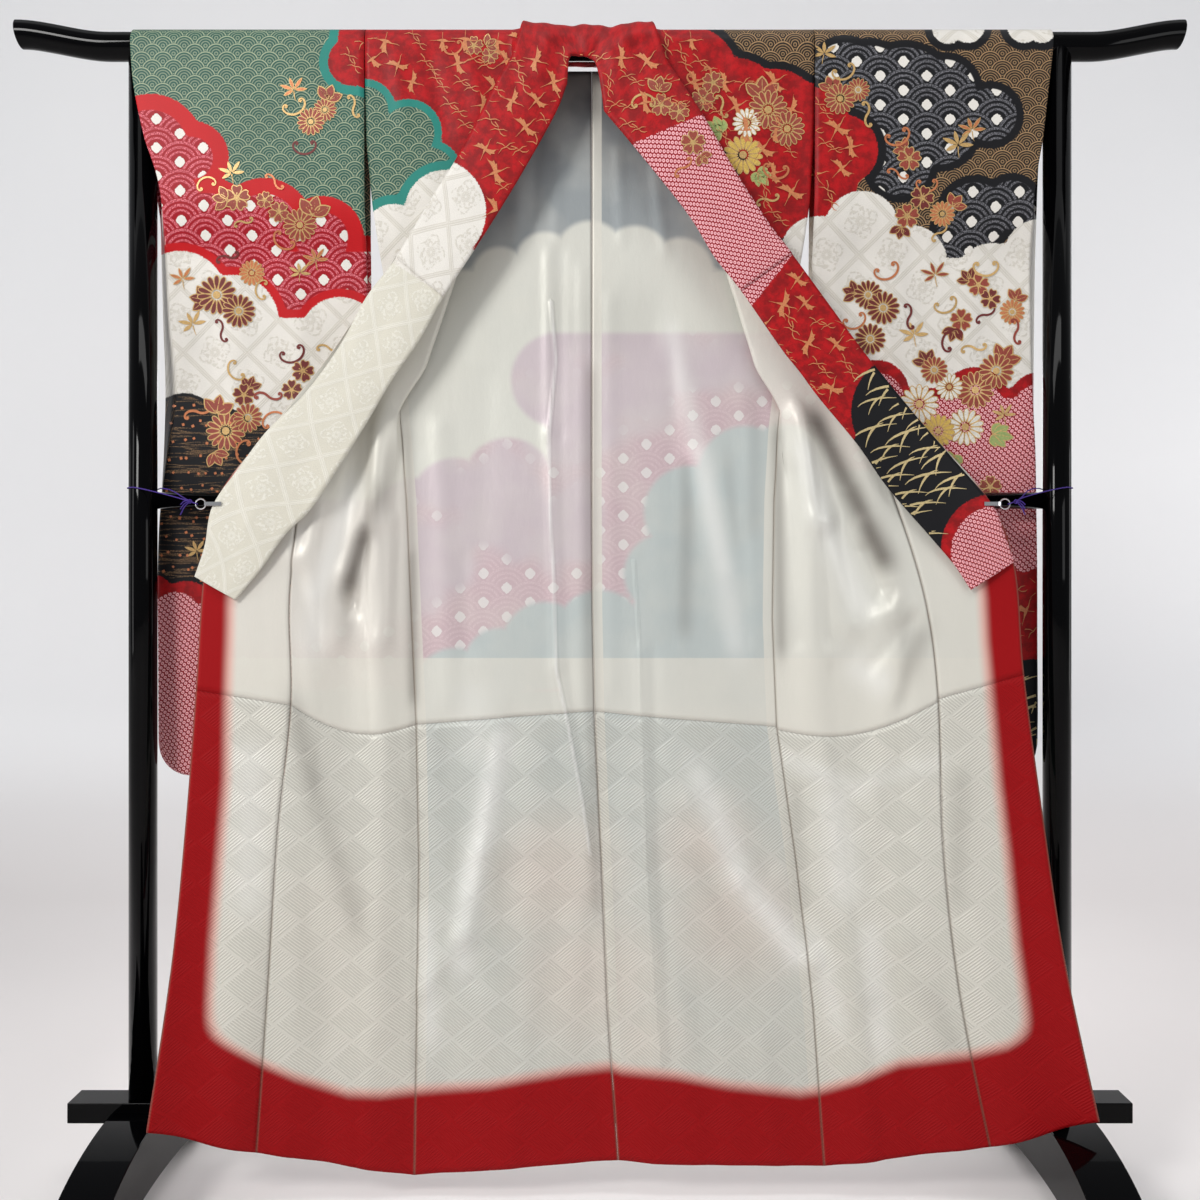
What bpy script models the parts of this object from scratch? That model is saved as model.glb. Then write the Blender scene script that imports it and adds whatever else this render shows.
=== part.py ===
"""Furisode hung open on a black lacquered stand: cloth panels, linings, collar, stand, clips and cords.

Metres, +Z up, the viewer stands at -Y. Right and left are the wearer's: the wearer's right is at -X.
"""
import math
import bpy
import bmesh
import numpy as np

# Stand
BAR_R = 0.0203
BAR_Z = 1.6606
BAR_HALF = 0.847
BAR_RISE = 0.018
POST_R = 0.0200
POST_X = 0.664
MID_R = 0.0120
MID_Z = 1.0014
RAIL_HALF_X = 0.764
RAIL_HALF_Y = 0.0255
RAIL_LOW, RAIL_TOP = 0.1064, 0.1355
FOOT_HALF_L = 0.280
FOOT_HALF_W = 0.036
FOOT_CROWN = 0.122
FOOT_ARCH = 0.036
FIT = 0.0004

# Cloth
CLOTH_T = 0.0011
LINING_T = 0.0010
COLLAR_T = 0.0016
SHOULDER_R = 0.0227
LINING_GAP = 0.0017
SEAM = 0.0005
TRIM = 0.0012

# Rows from the hem (0) to the bar's centre height (13), in centimetres and per side:
# side seam or armhole x z, fold x, gore seam or collar seam x z, gore's free edge x z
FRONT = {
    "right": (
        (-26.5, 3.7, 0.0, -48.2, 8.3, -62.4, 12.5),
        (-26.2, 27.1, 0.0, -46.7, 31.1, -59.5, 34.7),
        (-26.0, 48.5, 0.0, -45.5, 52.1, -57.9, 54.9),
        (-26.4, 67.8, 0.0, -43.7, 70.8, -56.8, 73.0),
        (-27.1, 82.8, 0.0, -44.0, 85.7, -56.0, 88.4),
        (-27.9, 100.1, -28.6, -42.7, 99.9, -54.2, 99.8),
        (-28.8, 110.2, -28.0, -40.1, 109.9, -46.8, 109.7),
        (-29.8, 120.0, -25.3, -36.3, 119.8, -38.6, 119.9),
        (-30.8, 129.0, -22.3, -31.8, 129.0, -32.6, 129.0),
        (-31.6, 134.5, -20.5, -29.0, 134.5, -29.0, 134.5),
        (-32.8, 143.0, -18.0, -23.4, 143.0, -23.4, 143.0),
        (-33.6, 152.0, -15.0, -18.2, 152.0, -18.2, 152.0),
        (-33.7, 160.0, -12.6, -14.4, 160.0, -14.4, 160.0),
        (-33.7, 166.06, -10.8, -11.5, 166.06, -11.5, 166.06),
    ),
    "left": (
        (32.0, 5.0, 0.0, 54.7, 9.1, 68.7, 14.0),
        (30.5, 27.5, 0.0, 50.6, 30.2, 64.6, 35.1),
        (28.1, 48.5, 0.0, 48.4, 50.4, 61.9, 55.6),
        (25.4, 67.5, 0.0, 47.8, 71.7, 59.6, 75.2),
        (24.8, 82.8, 0.0, 46.1, 85.7, 58.5, 90.6),
        (25.1, 100.1, 25.8, 41.9, 99.9, 55.0, 99.8),
        (25.8, 110.2, 25.0, 37.7, 109.9, 46.4, 109.7),
        (27.0, 120.0, 22.6, 33.8, 119.8, 37.4, 120.3),
        (28.3, 129.0, 19.9, 29.8, 129.0, 31.2, 129.0),
        (29.0, 134.5, 18.2, 27.0, 134.5, 27.0, 134.5),
        (30.2, 143.0, 16.0, 21.3, 143.0, 21.3, 143.0),
        (30.7, 152.0, 13.0, 15.9, 152.0, 15.9, 152.0),
        (30.7, 160.0, 10.0, 11.2, 160.0, 11.2, 160.0),
        (30.7, 166.06, 7.0, 7.7, 166.06, 7.7, 166.06),
    ),
}
# The same rows: centre seam x z, back y, first layer y, second layer y at its fold, gore seam y,
# free edge y, depth of the drape fold, all in centimetres
DEPTH = (
    (2.6, 5.8, -3.25, -3.25, -3.25, -6.5, -10.0, 1.0),
    (1.1, 27.2, -2.68, -2.68, -2.68, -6.0, -8.5, 0.8),
    (0.3, 46.5, -2.25, -2.25, -2.25, -5.5, -7.0, 0.6),
    (-0.8, 69.7, -1.95, -1.95, -1.95, -5.0, -6.0, 0.9),
    (-1.1, 84.0, -1.78, -1.78, -1.78, -4.5, -5.2, 1.8),
    (-1.2, 100.0, -1.40, -1.75, -2.25, -4.0, -5.0, 2.2),
    (-1.2, 110.2, -0.80, -1.75, -2.35, -4.0, -5.0, 1.2),
    (-1.2, 120.0, -0.30, -1.60, -2.25, -4.0, -5.0, 0.3),
    (-1.2, 129.0, 0.20, -1.40, -2.05, -4.2, -4.6, 0.0),
    (-1.2, 134.5, 0.60, -1.30, -1.95, -4.3, -4.3, 0.0),
    (-1.2, 143.0, 1.20, -1.50, -2.15, -3.9, -3.9, 0.0),
    (-1.2, 152.0, 1.70, -1.80, -2.55, -3.35, -3.35, 0.0),
    (-1.2, 160.0, 2.10, -2.10, -2.95, -3.10, -3.10, 0.0),
    (-1.2, 166.06, 2.27, -2.27, -3.00, -3.02, -3.02, 0.0),
)
NECK_X = {"right": -0.115, "left": 0.077}
SEAM_ROW = 3.0
SAG = 0.026

# Collar from the free end up to the neck: seam edge x z y, free edge x z y, in centimetres
COLLAR = {
    "right": (
        (-57.1, 89.0, -5.72, -51.3, 85.7, -5.80),
        (-55.7, 93.3, -5.62, -47.6, 90.2, -5.80),
        (-54.6, 99.0, -5.50, -44.3, 94.9, -5.80),
        (-50.7, 104.6, -5.50, -40.6, 98.6, -5.90),
        (-46.9, 109.6, -5.50, -36.5, 104.8, -5.95),
        (-41.6, 114.8, -5.55, -33.0, 110.3, -5.95),
        (-36.7, 121.5, -5.55, -29.3, 116.6, -5.90),
        (-32.9, 128.5, -5.45, -25.3, 122.5, -5.80),
        (-28.8, 134.0, -5.20, -22.1, 128.4, -5.50),
        (-24.4, 141.6, -4.75, -17.8, 135.1, -5.10),
        (-19.9, 149.2, -4.10, -12.2, 144.3, -4.45),
        (-14.6, 159.7, -3.50, -6.6, 154.5, -3.70),
        (-12.6, 163.1, -3.32, -4.7, 159.3, -3.35),
    ),
    "left": (
        (58.4, 91.1, -5.72, 52.2, 87.1, -5.80),
        (57.0, 94.9, -5.62, 49.9, 90.6, -5.80),
        (55.4, 99.0, -5.50, 46.5, 94.6, -5.80),
        (49.6, 105.8, -5.50, 40.4, 101.6, -5.90),
        (45.0, 111.1, -5.50, 36.2, 107.6, -5.95),
        (39.8, 117.4, -5.55, 30.9, 114.0, -5.95),
        (36.7, 121.3, -5.55, 28.1, 117.8, -5.90),
        (33.0, 126.4, -5.45, 25.3, 121.4, -5.80),
        (27.1, 134.6, -5.20, 19.9, 129.3, -5.50),
        (23.9, 138.9, -4.85, 16.2, 134.1, -5.20),
        (19.3, 146.3, -4.30, 12.5, 140.3, -4.65),
        (14.5, 154.9, -3.75, 6.3, 148.4, -4.00),
        (9.5, 162.6, -3.35, 0.6, 155.4, -3.42),
    ),
}
# Neck part laid over the bar: x and way over the bar (0 on top, + behind) of the seam edge and the
# free edge, radius, in centimetres
NECK = (
    (-11.5, -4.4, -4.5, -8.8, 3.25),
    (-11.0, -1.5, -4.3, -7.8, 3.15),
    (-10.2, 1.8, -3.9, -7.1, 2.85),
    (-8.6, 4.6, -3.3, -6.6, 2.55),
    (-5.0, 5.7, -2.9, -6.5, 2.52),
    (-1.2, 5.8, -2.4, -6.5, 2.52),
    (2.6, 5.7, -1.9, -6.6, 2.52),
    (5.6, 4.8, -1.4, -6.9, 2.55),
    (7.0, 1.8, -0.9, -7.7, 2.85),
    (7.5, -1.5, -0.5, -9.0, 3.15),
    (8.2, -4.4, -0.1, -10.8, 3.25),
)
COVER_ROW = 8

# Sleeve rows going down: height, front layer's outer x, front y, back layer's outer x, back y, in cm
SLEEVE = {
    "right": (
        (166.06, -67.45, -2.27, -67.45, 2.27),
        (159.2, -66.9, -2.27, -67.2, 2.40),
        (152.0, -65.4, -2.26, -66.6, 2.60),
        (146.5, -63.6, -2.22, -65.6, 2.75),
        (141.5, -62.9, -1.90, -64.9, 2.90),
        (135.5, -62.8, -0.30, -64.8, 3.10),
        (126.0, -62.7, 0.90, -64.7, 3.40),
        (117.0, -62.1, 1.85, -64.5, 3.70),
        (108.0, -63.4, 2.25, -64.8, 3.90),
        (99.0, -64.8, 2.70, -65.3, 4.10),
        (90.0, -65.3, 3.00, -65.4, 4.30),
        (79.0, -65.3, 3.15, -65.4, 4.40),
        (69.0, -65.3, 3.25, -65.4, 4.35),
    ),
    "left": (
        (166.06, 65.1, -2.27, 65.1, 2.27),
        (159.2, 64.4, -2.27, 64.9, 2.40),
        (152.0, 63.6, -2.26, 64.7, 2.60),
        (146.5, 62.7, -2.22, 64.5, 2.75),
        (141.5, 62.4, -1.60, 64.4, 2.90),
        (135.5, 62.4, -0.10, 64.3, 3.10),
        (126.0, 62.8, 0.80, 64.3, 3.30),
        (117.0, 63.3, 1.50, 64.3, 3.50),
        (108.0, 63.9, 2.00, 64.4, 3.70),
        (99.0, 64.2, 2.40, 64.6, 3.80),
        (90.0, 64.4, 2.60, 64.7, 4.00),
        (79.0, 64.5, 2.80, 64.8, 4.10),
        (69.0, 64.6, 2.90, 64.8, 4.10),
    ),
}
SLEEVE_IN = {"right": -0.3385, "left": 0.3085}
SLEEVE_FOOT = 0.597
SLEEVE_CORNER = 0.045
CUFF_ROW = 4

BODY_COLS = (0.0, 0.15, 0.30, 0.37, 0.44, 0.51, 0.62, 0.74, 0.87, 1.0)
TURN = (2, 5)
# Share of the panel's width at columns 0, the fold's start, the fold's end and 1
EVEN, LOW, TOP = (0, 0.30, 0.51, 1), (0, 0.04, 0.085, 1), (0, 0.95, 0.965, 1)
FRONT_ROWS = (0, 0.5, 1, 1.5, 2, 2.5, 3, 3.5, 4, 4.5, 5, 5.5, 6, 6.3, 6.6, 7, 7.5, 8, 9, 10, 11, 12, 12.5, 13)
BACK_ROWS = (12.55, 11, 9, 8, 7, 6, 5, 4, 3, 2, 1, 0)
ARC = (0.18, 0.36, 0.5, 0.68, 0.86, 1.0)

for old in list(bpy.data.objects):
    bpy.data.objects.remove(old, do_unlink=True)

GROUP = bpy.data.collections.new("furisode_on_stand")
bpy.context.scene.collection.children.link(GROUP)
CUTTERS = bpy.data.collections.new("cutters")
bpy.context.scene.collection.children.link(CUTTERS)


def material(name, colour, rough, coat=0.0):
    """Principled material with plain values."""
    mat = bpy.data.materials.new(name)
    mat.use_nodes = True
    bsdf = mat.node_tree.nodes["Principled BSDF"]
    bsdf.inputs["Base Color"].default_value = (*colour, 1.0)
    bsdf.inputs["Roughness"].default_value = rough
    bsdf.inputs["Coat Weight"].default_value = coat
    return mat


def finish(name, bm, colour, rough, smooth=True, coat=0.0, cloth=False):
    """Object from a bmesh, with its own material, in the part's collection."""
    if cloth:
        bmesh.ops.triangulate(bm, faces=bm.faces, quad_method="FIXED")
    bmesh.ops.recalc_face_normals(bm, faces=bm.faces)
    mesh = bpy.data.meshes.new(name)
    bm.to_mesh(mesh)
    bm.free()
    obj = bpy.data.objects.new(name, mesh)
    GROUP.objects.link(obj)
    mesh.materials.append(material(name, colour, rough, coat))
    if smooth:
        mesh.shade_smooth()
    return obj


def table(rows, k):
    """Row k of a table, curved smoothly between whole rows."""
    rows = np.asarray(rows, float) * 0.01
    k = min(max(k, 0.0), len(rows) - 1.0)
    i = min(int(k), len(rows) - 2)
    t = k - i
    a, b = rows[i], rows[i + 1]
    before = rows[max(i - 1, 0)]
    after = rows[min(i + 2, len(rows) - 1)]
    m0, m1 = (b - before) / 2, (after - a) / 2
    return ((2 * t**3 - 3 * t**2 + 1) * a + (t**3 - 2 * t**2 + t) * m0
            + (3 * t**2 - 2 * t**3) * b + (t**3 - t**2) * m1)


def straight(rows, k):
    """Row k of a table, straight between whole rows."""
    rows = np.asarray(rows, float) * 0.01
    i = min(int(k), len(rows) - 2)
    return rows[i] + (rows[i + 1] - rows[i]) * (k - i)


def soft(t):
    t = min(max(t, 0.0), 1.0)
    return t * t * (3 - 2 * t)


def grid(points):
    """Open sheet through a grid of points; the grid is made flat first and then moved."""
    rows, cols = points.shape[:2]
    bm = bmesh.new()
    bmesh.ops.create_grid(bm, x_segments=cols - 1, y_segments=rows - 1, size=0.5)
    for v in bm.verts:
        c = round((v.co.x + 0.5) * (cols - 1))
        r = round((v.co.y + 0.5) * (rows - 1))
        v.co = points[r, c]
    return bm


def moved(points, d):
    """The grid's points moved along the sheet's own normals."""
    du = np.gradient(points, axis=1)
    dv = np.gradient(points, axis=0)
    n = np.cross(du, dv)
    n /= np.maximum(np.linalg.norm(n, axis=2, keepdims=True), 1e-12)
    return points + n * d


def sheet(name, points, thick, colour, rough=0.7):
    """Cloth piece: the open grid given a wall by Solidify."""
    bm = grid(points)
    obj = finish(name, bm, colour, rough, cloth=True)
    mod = obj.modifiers.new("thickness", "SOLIDIFY")
    mod.thickness = thick
    mod.offset = 0.0
    return obj


def share(u, kind):
    """Share of the width where column u stands."""
    return float(np.interp(u, EVEN, kind))


def back_point(side, k, u):
    """Back panel: u = 0 on the side seam, 1 on the line under the neck point, 2 on the centre seam."""
    sx, sz = straight(FRONT[side], k)[:2]
    cx, cz, y = straight(DEPTH, k)[:3]
    sign = -1 if side == "right" else 1
    nx = min(abs(NECK_X[side]), abs(sx) * 0.5) * sign
    a = sx - sign * SEAM
    b = cx + sign * SEAM
    w = soft((k - 7.0) / 5.0)
    if u <= 1:
        g = share(u, EVEN) * (1 - w) + share(u, TOP) * w
        x, s = a + (nx - a) * g, 0.62 * g
    else:
        x, s = nx + (b - nx) * (u - 1), 0.62 + 0.38 * (u - 1)
    z = sz + (cz - sz) * s
    wave = 0.007 * soft((6.0 - k) / 5.0) * math.sin(math.pi * s) ** 2
    return x, y - wave, z


def front_point(side, k, u):
    """Front panel: u = 0 on the side seam or armhole, 1 on the gore seam or the collar's seam."""
    sx, sz, fx, ox, oz = table(FRONT[side], k)[:5]
    _, _, _, y1, y2, yo, _, amp = table(DEPTH, k)
    sx, sz = straight(FRONT[side], k)[:2]
    yb = straight(DEPTH, k)[2]
    sign = -1 if side == "right" else 1
    sx += sign * SEAM
    ox -= sign * SEAM
    if k < 9:
        w = soft((k - 4.0) / 2.0)
        g = share(u, EVEN) * (1 - w) + share(u, LOW) * w
        sag = SAG * math.exp(-((k - SEAM_ROW) / 1.6) ** 2) * math.sin(math.pi * g)
        wave = 1.3 * amp * math.sin(math.pi * g) ** 2 * math.sin(2 * math.pi * g * 1.25 + 0.25)
        wave *= 1.0 if wave > 0 else 0.3
        lead = soft((k - 5.3) / 0.7)
        start = yb - 0.003 * lead
        u0, g0 = BODY_COLS[TURN[0]], share(BODY_COLS[TURN[0]], LOW)
        step = start + (y1 - start) * u / u0 if u < u0 else y1 + (yo - y1) * (g - g0) / (1 - g0)
        y = (start + (yo - start) * g) * (1 - lead) + step * lead
        flat = np.array((sx + (ox - sx) * g, y - wave, sz + (oz - sz) * g - sag))
        f = soft((k - 5.9) / 1.1)
    else:
        g = share(u, TOP)
        y = y1 + (yo - y1) * max(u - BODY_COLS[TURN[0]], 0.0) / (1 - BODY_COLS[TURN[0]])
        flat = np.array((sx + (ox - sx) * g, y, sz + (oz - sz) * g))
        f = 1 - soft(k - 12.0)
    u0, u1 = BODY_COLS[TURN[0]], BODY_COLS[TURN[1]]
    if u <= u0:
        t = u / u0
        x, y = sx + (fx - sx) * t, y1 + (yb - 0.005 - y1) * (1 - t) ** 2 * soft(9.5 - k)
    elif u < u1:
        t = (u - u0) / (u1 - u0)
        r = (y1 - y2) / 2
        x = fx - sign * r * math.sin(math.pi * t)
        y = (y1 + y2) / 2 + r * math.cos(math.pi * t)
    else:
        t = (u - u1) / (1 - u1)
        x, y = fx + (ox - fx) * t, y2 + (yo - y2) * t
    return (1 - f) * flat + f * np.array((x, y, sz + (oz - sz) * u))


def body_points(side):
    """The whole length from the front hem over the bar to the back hem, with the columns of the neck."""
    rows = []
    for k in FRONT_ROWS:
        rows.append([front_point(side, k, u) for u in BODY_COLS])
    last = np.array(rows[-1])
    for t in ARC:
        a = math.pi * t
        r = SHOULDER_R + (-last[:, 1] - SHOULDER_R) * (1 - soft(t * 2.0))
        rows.append([np.array((x, -q * math.cos(a), BAR_Z + q * math.sin(a))) for x, q in zip(last[:, 0], r)])
    for k in BACK_ROWS:
        rows.append([np.array(back_point(side, k, u)) for u in BODY_COLS])
    body = np.array(rows)
    extra = np.array([[back_point(side, k, u) for u in (1.5, 2.0)] for k in BACK_ROWS])
    return body, extra


def body(side):
    """One panel: the grid with two more columns behind, under the neck."""
    pts, extra = body_points(side)
    n_rows, n_cols = pts.shape[:2]
    wide = np.zeros((n_rows, n_cols + 2, 3))
    wide[:, :n_cols] = pts
    wide[:, n_cols:] = pts[:, -1:]
    wide[n_rows - len(BACK_ROWS):, n_cols:] = extra
    bm = bmesh.new()
    bmesh.ops.create_grid(bm, x_segments=n_cols + 1, y_segments=n_rows - 1, size=0.5)
    place, lost = {}, []
    for v in bm.verts:
        c = round((v.co.x + 0.5) * (n_cols + 1))
        r = round((v.co.y + 0.5) * (n_rows - 1))
        place[v] = (r, c)
    first = n_rows - len(BACK_ROWS)
    for v in bm.verts:
        if place[v][1] >= n_cols and place[v][0] < first:
            lost.append(v)
    for v in bm.verts:
        v.co = wide[place[v]]
    bmesh.ops.delete(bm, geom=lost, context="VERTS")
    obj = finish("body_" + side, bm, (0.55, 0.04, 0.05), 0.7, cloth=True)
    mod = obj.modifiers.new("thickness", "SOLIDIFY")
    mod.thickness = CLOTH_T
    mod.offset = 0.0
    return pts, wide


def trimmed(points, first, last):
    """The grid with its first and last columns drawn in by the given ways."""
    out = points.copy()
    for edge, beside, d in ((0, 1, first), (-1, -2, last)):
        way = points[:, beside] - points[:, edge]
        out[:, edge] += way / np.linalg.norm(way, axis=1, keepdims=True) * d
    return out


def toward_viewer(points, d):
    """Points moved by d along the normals, on the side that faces the viewer at the last column."""
    a = moved(points, d)
    mid = points.shape[0] // 2
    if a[mid, -1, 1] > points[mid, -1, 1]:
        a = moved(points, -d)
    return a


def linings(side, pts, wide):
    """Upper and lower linings of the back and the front, from the panels' own points moved inward."""
    back = trimmed(toward_viewer(wide[pts.shape[0] - len(BACK_ROWS):], LINING_GAP), TRIM, 0.0002)
    cut = BACK_ROWS.index(3)
    upper, lower = back[:cut + 1].copy(), back[cut:].copy()
    upper[-1, :, 2] += SEAM
    lower[0, :, 2] -= SEAM
    cream = (0.86, 0.84, 0.78)
    sheet("lining_back_upper_" + side, upper, LINING_T, cream)
    sheet("lining_back_lower_" + side, lower, LINING_T, cream)
    top = FRONT_ROWS.index(9) + 1
    full = trimmed(toward_viewer(pts[:top], LINING_GAP), TRIM, 0.0003)
    cut = FRONT_ROWS.index(3)
    low, high = full[:cut + 1].copy(), full[cut:].copy()
    low[-1, :, 2] -= SEAM
    high[0, :, 2] += SEAM
    sheet("lining_front_lower_" + side, low, LINING_T, cream)
    start = TURN[0] + 1
    lead = FRONT_ROWS.index(6) - cut
    obj = sheet("lining_front_upper_" + side, high, LINING_T, cream)
    bm = bmesh.new()
    bm.from_mesh(obj.data)
    cols = high.shape[1]
    hidden = [v for v in bm.verts if v.index // cols > lead and v.index % cols < start]
    bmesh.ops.delete(bm, geom=hidden, context="VERTS")
    bm.to_mesh(obj.data)
    bm.free()


GORE_ROWS = (0, 0.5, 1, 1.5, 2, 2.5, 3, 3.5, 4, 4.5, 5, 5.5, 6, 6.5, 7, 7.5, 8)


def gore_points(side):
    """Front gore from its seam with the front panel to the free edge."""
    sign = -1 if side == "right" else 1
    rows = []
    for k in GORE_ROWS:
        _, _, _, ox, oz, ex, ez = table(FRONT[side], k)
        yo, ye = table(DEPTH, k)[5:7]
        ox += sign * SEAM
        line = []
        for t in (0.0, 0.34, 0.67, 1.0):
            wave = 0.006 * soft((2.5 - k) / 2.5) * math.sin(2 * math.pi * t)
            line.append((ox + (ex - ox) * t, yo + (ye - yo) * t - wave, oz + (ez - oz) * t))
        rows.append(line)
    return np.array(rows)


def gore(side):
    pts = gore_points(side)
    sheet("gore_" + side, pts, CLOTH_T, (0.55, 0.04, 0.05))
    inner = trimmed(toward_viewer(pts, LINING_GAP), 0.0005, 0.0)
    cut = GORE_ROWS.index(3)
    low, high = inner[:cut + 1].copy(), inner[cut:].copy()
    low[-1, :, 2] -= SEAM
    high[0, :, 2] += SEAM
    sheet("lining_gore_lower_" + side, low, LINING_T, (0.86, 0.84, 0.78))
    sheet("lining_gore_upper_" + side, high, LINING_T, (0.86, 0.84, 0.78))


def over_bar(x, q, r):
    """Point on cloth laid over the bar: q is the way from the top, + behind, hanging straight below."""
    quarter = r * math.pi / 2
    if abs(q) <= quarter:
        a = q / r
        return np.array((x, r * math.sin(a), BAR_Z + r * math.cos(a)))
    return np.array((x, math.copysign(r, q), BAR_Z - (abs(q) - quarter)))


def collar_points():
    """The strip from the wearer's right end over the neck to the left end, seam edge first."""
    shares = [i / 6 for i in range(7)]
    rows = []
    right = COLLAR["right"]
    left = COLLAR["left"]

    def front_row(rows_in, k):
        sx, sz, sy, ex, ez, ey = table(rows_in, k)
        line = []
        for t in shares:
            puff = 0.002 * math.sin(math.pi * t)
            line.append((sx + (ex - sx) * t, sy + (ey - sy) * t - puff, sz + (ez - sz) * t))
        return line

    for i in range(len(right)):
        rows.append(front_row(right, i))
    n = (len(NECK) - 1) * 2
    for j in range(n + 1):
        sx, sq, ex, eq, r = table(NECK, j / 2)
        rows.append([over_bar(sx + (ex - sx) * t, sq + (eq - sq) * t, r) for t in shares])
    for i in range(len(left) - 1, -1, -1):
        rows.append(front_row(left, i))
    return np.array(rows)


def sleeve(side):
    """Closed loop over the bar, open at the furi side, sewn on the outer side below the cuff."""
    sign = -1 if side == "right" else 1
    x_in = SLEEVE_IN[side]
    data = [np.array(r) * 0.01 for r in SLEEVE[side]]
    cols = 6

    def low(x, x_out):
        """Height of the lower edge, with the outer corner rounded."""
        d = abs(x_out) - SLEEVE_CORNER
        over = max(abs(x) - d, 0.0)
        return SLEEVE_FOOT + SLEEVE_CORNER - math.sqrt(max(SLEEVE_CORNER ** 2 - over ** 2, 0.0))

    def across(x_out):
        return [x_in + (x_out - x_in) * (1 - (1 - i / cols) ** 1.25) for i in range(cols + 1)]

    def fold(x, y):
        return 0.0035 * math.sin((abs(x) - 0.34) / 0.30 * math.pi * 3)

    loops = []
    z_base = data[-1][0]
    front, back = [], []
    for h, xf, yf, xb, yb in data:
        weight = soft((1.50 - h) / 0.3)
        front.append([(x, yf + weight * abs(fold(x, yf)) * 0.8, h) for x in across(xf)])
        back.append([(x, yb + weight * 0.004, h) for x in across(xb)])
    tail_f, tail_b = [], []
    for drop in (0.5, 0.85):
        xf, yf, xb, yb = data[-1][1:]
        tail_f.append([(x, yf + 0.003 * drop + abs(fold(x, yf)) * 0.8 * (1 - drop), z_base
                        + (low(x, xf) + 0.004 - z_base) * drop) for x in across(xf)])
        tail_b.append([(x, yb + 0.004, z_base + (low(x, xb) + 0.004 - z_base) * drop)
                       for x in across(xb)])
    xf, yf, xb, yb = data[-1][1:]
    bottom = [(x, (yf + yb) / 2 + 0.003, low(x, xf)) for x in across(xf)]
    arc = []
    for t in (0.17, 0.34, 0.5, 0.66, 0.83):
        a = math.pi * t
        arc.append([(x, -SHOULDER_R * math.cos(a), BAR_Z + SHOULDER_R * math.sin(a))
                    for x in across(data[0][1])])
    loops = [bottom] + tail_f[::-1] + front[::-1] + arc + back + tail_b
    pts = np.array(loops)
    n, m = pts.shape[:2]
    bm = bmesh.new()
    bmesh.ops.create_grid(bm, x_segments=m - 1, y_segments=n - 1, size=0.5)
    at = {}
    for v in bm.verts:
        c = round((v.co.x + 0.5) * (m - 1))
        r = round((v.co.y + 0.5) * (n - 1))
        at[r, c] = v
    for (r, c), v in at.items():
        v.co = pts[r, c]
    for c in range(m - 1):
        bm.faces.new((at[n - 1, c], at[n - 1, c + 1], at[0, c + 1], at[0, c]))
    count = len(data) + 2 - CUFF_ROW
    for j in range(count):
        f0, f1 = at[j, m - 1], at[j + 1, m - 1]
        b0 = at[n - j, m - 1] if j else None
        b1 = at[n - 1 - j, m - 1]
        bm.faces.new((f0, f1, b1) if b0 is None else (f0, f1, b1, b0))
    obj = finish("sleeve_" + side, bm, (0.60, 0.10, 0.10), 0.7, cloth=True)
    mod = obj.modifiers.new("thickness", "SOLIDIFY")
    mod.thickness = CLOTH_T
    mod.offset = 0.0


def prism(name, outline, axis, low, high, colour=(0.01, 0.01, 0.012), bevel=0.0, smooth=False):
    """Outline pushed along an axis. Outline points are (a, b) in the two other axes."""
    bm = bmesh.new()
    verts = []
    for a, b in outline:
        co = {"x": (low, a, b), "y": (a, low, b), "z": (a, b, low)}[axis]
        verts.append(bm.verts.new(co))
    face = bm.faces.new(verts)
    out = bmesh.ops.extrude_face_region(bm, geom=[face])
    step = {"x": (high - low, 0, 0), "y": (0, high - low, 0), "z": (0, 0, high - low)}[axis]
    new = [g for g in out["geom"] if isinstance(g, bmesh.types.BMVert)]
    bmesh.ops.translate(bm, verts=new, vec=step)
    obj = finish(name, bm, colour, 0.08, smooth, 1.0)
    if bevel:
        mod = obj.modifiers.new("edges", "BEVEL")
        mod.width = bevel
        mod.segments = 1
        mod.limit_method = "ANGLE"
        mod.angle_limit = math.radians(40)
    return obj


def tube(name, rings, sides, colour=(0.01, 0.01, 0.012), rough=0.08):
    """Round rod from rings: each ring is a function of the angle giving a point."""
    bm = bmesh.new()
    loops = [[bm.verts.new(ring(2 * math.pi * i / sides)) for i in range(sides)] for ring in rings]
    for a, b in zip(loops, loops[1:]):
        for i in range(sides):
            j = (i + 1) % sides
            bm.faces.new((a[i], a[j], b[j], b[i]))
    for loop in (loops[0], loops[-1]):
        half = sides // 2
        for i in range(half):
            quad = [loop[i], loop[i + 1], loop[sides - 1 - i], loop[(sides - i) % sides]]
            quad = [q for n, q in enumerate(quad) if q not in quad[:n]]
            if len(quad) > 2:
                bm.faces.new(quad)
    obj = finish(name, bm, colour, rough, True, 1.0)
    obj.data.set_sharp_from_angle(angle=math.radians(40))
    return obj


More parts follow.
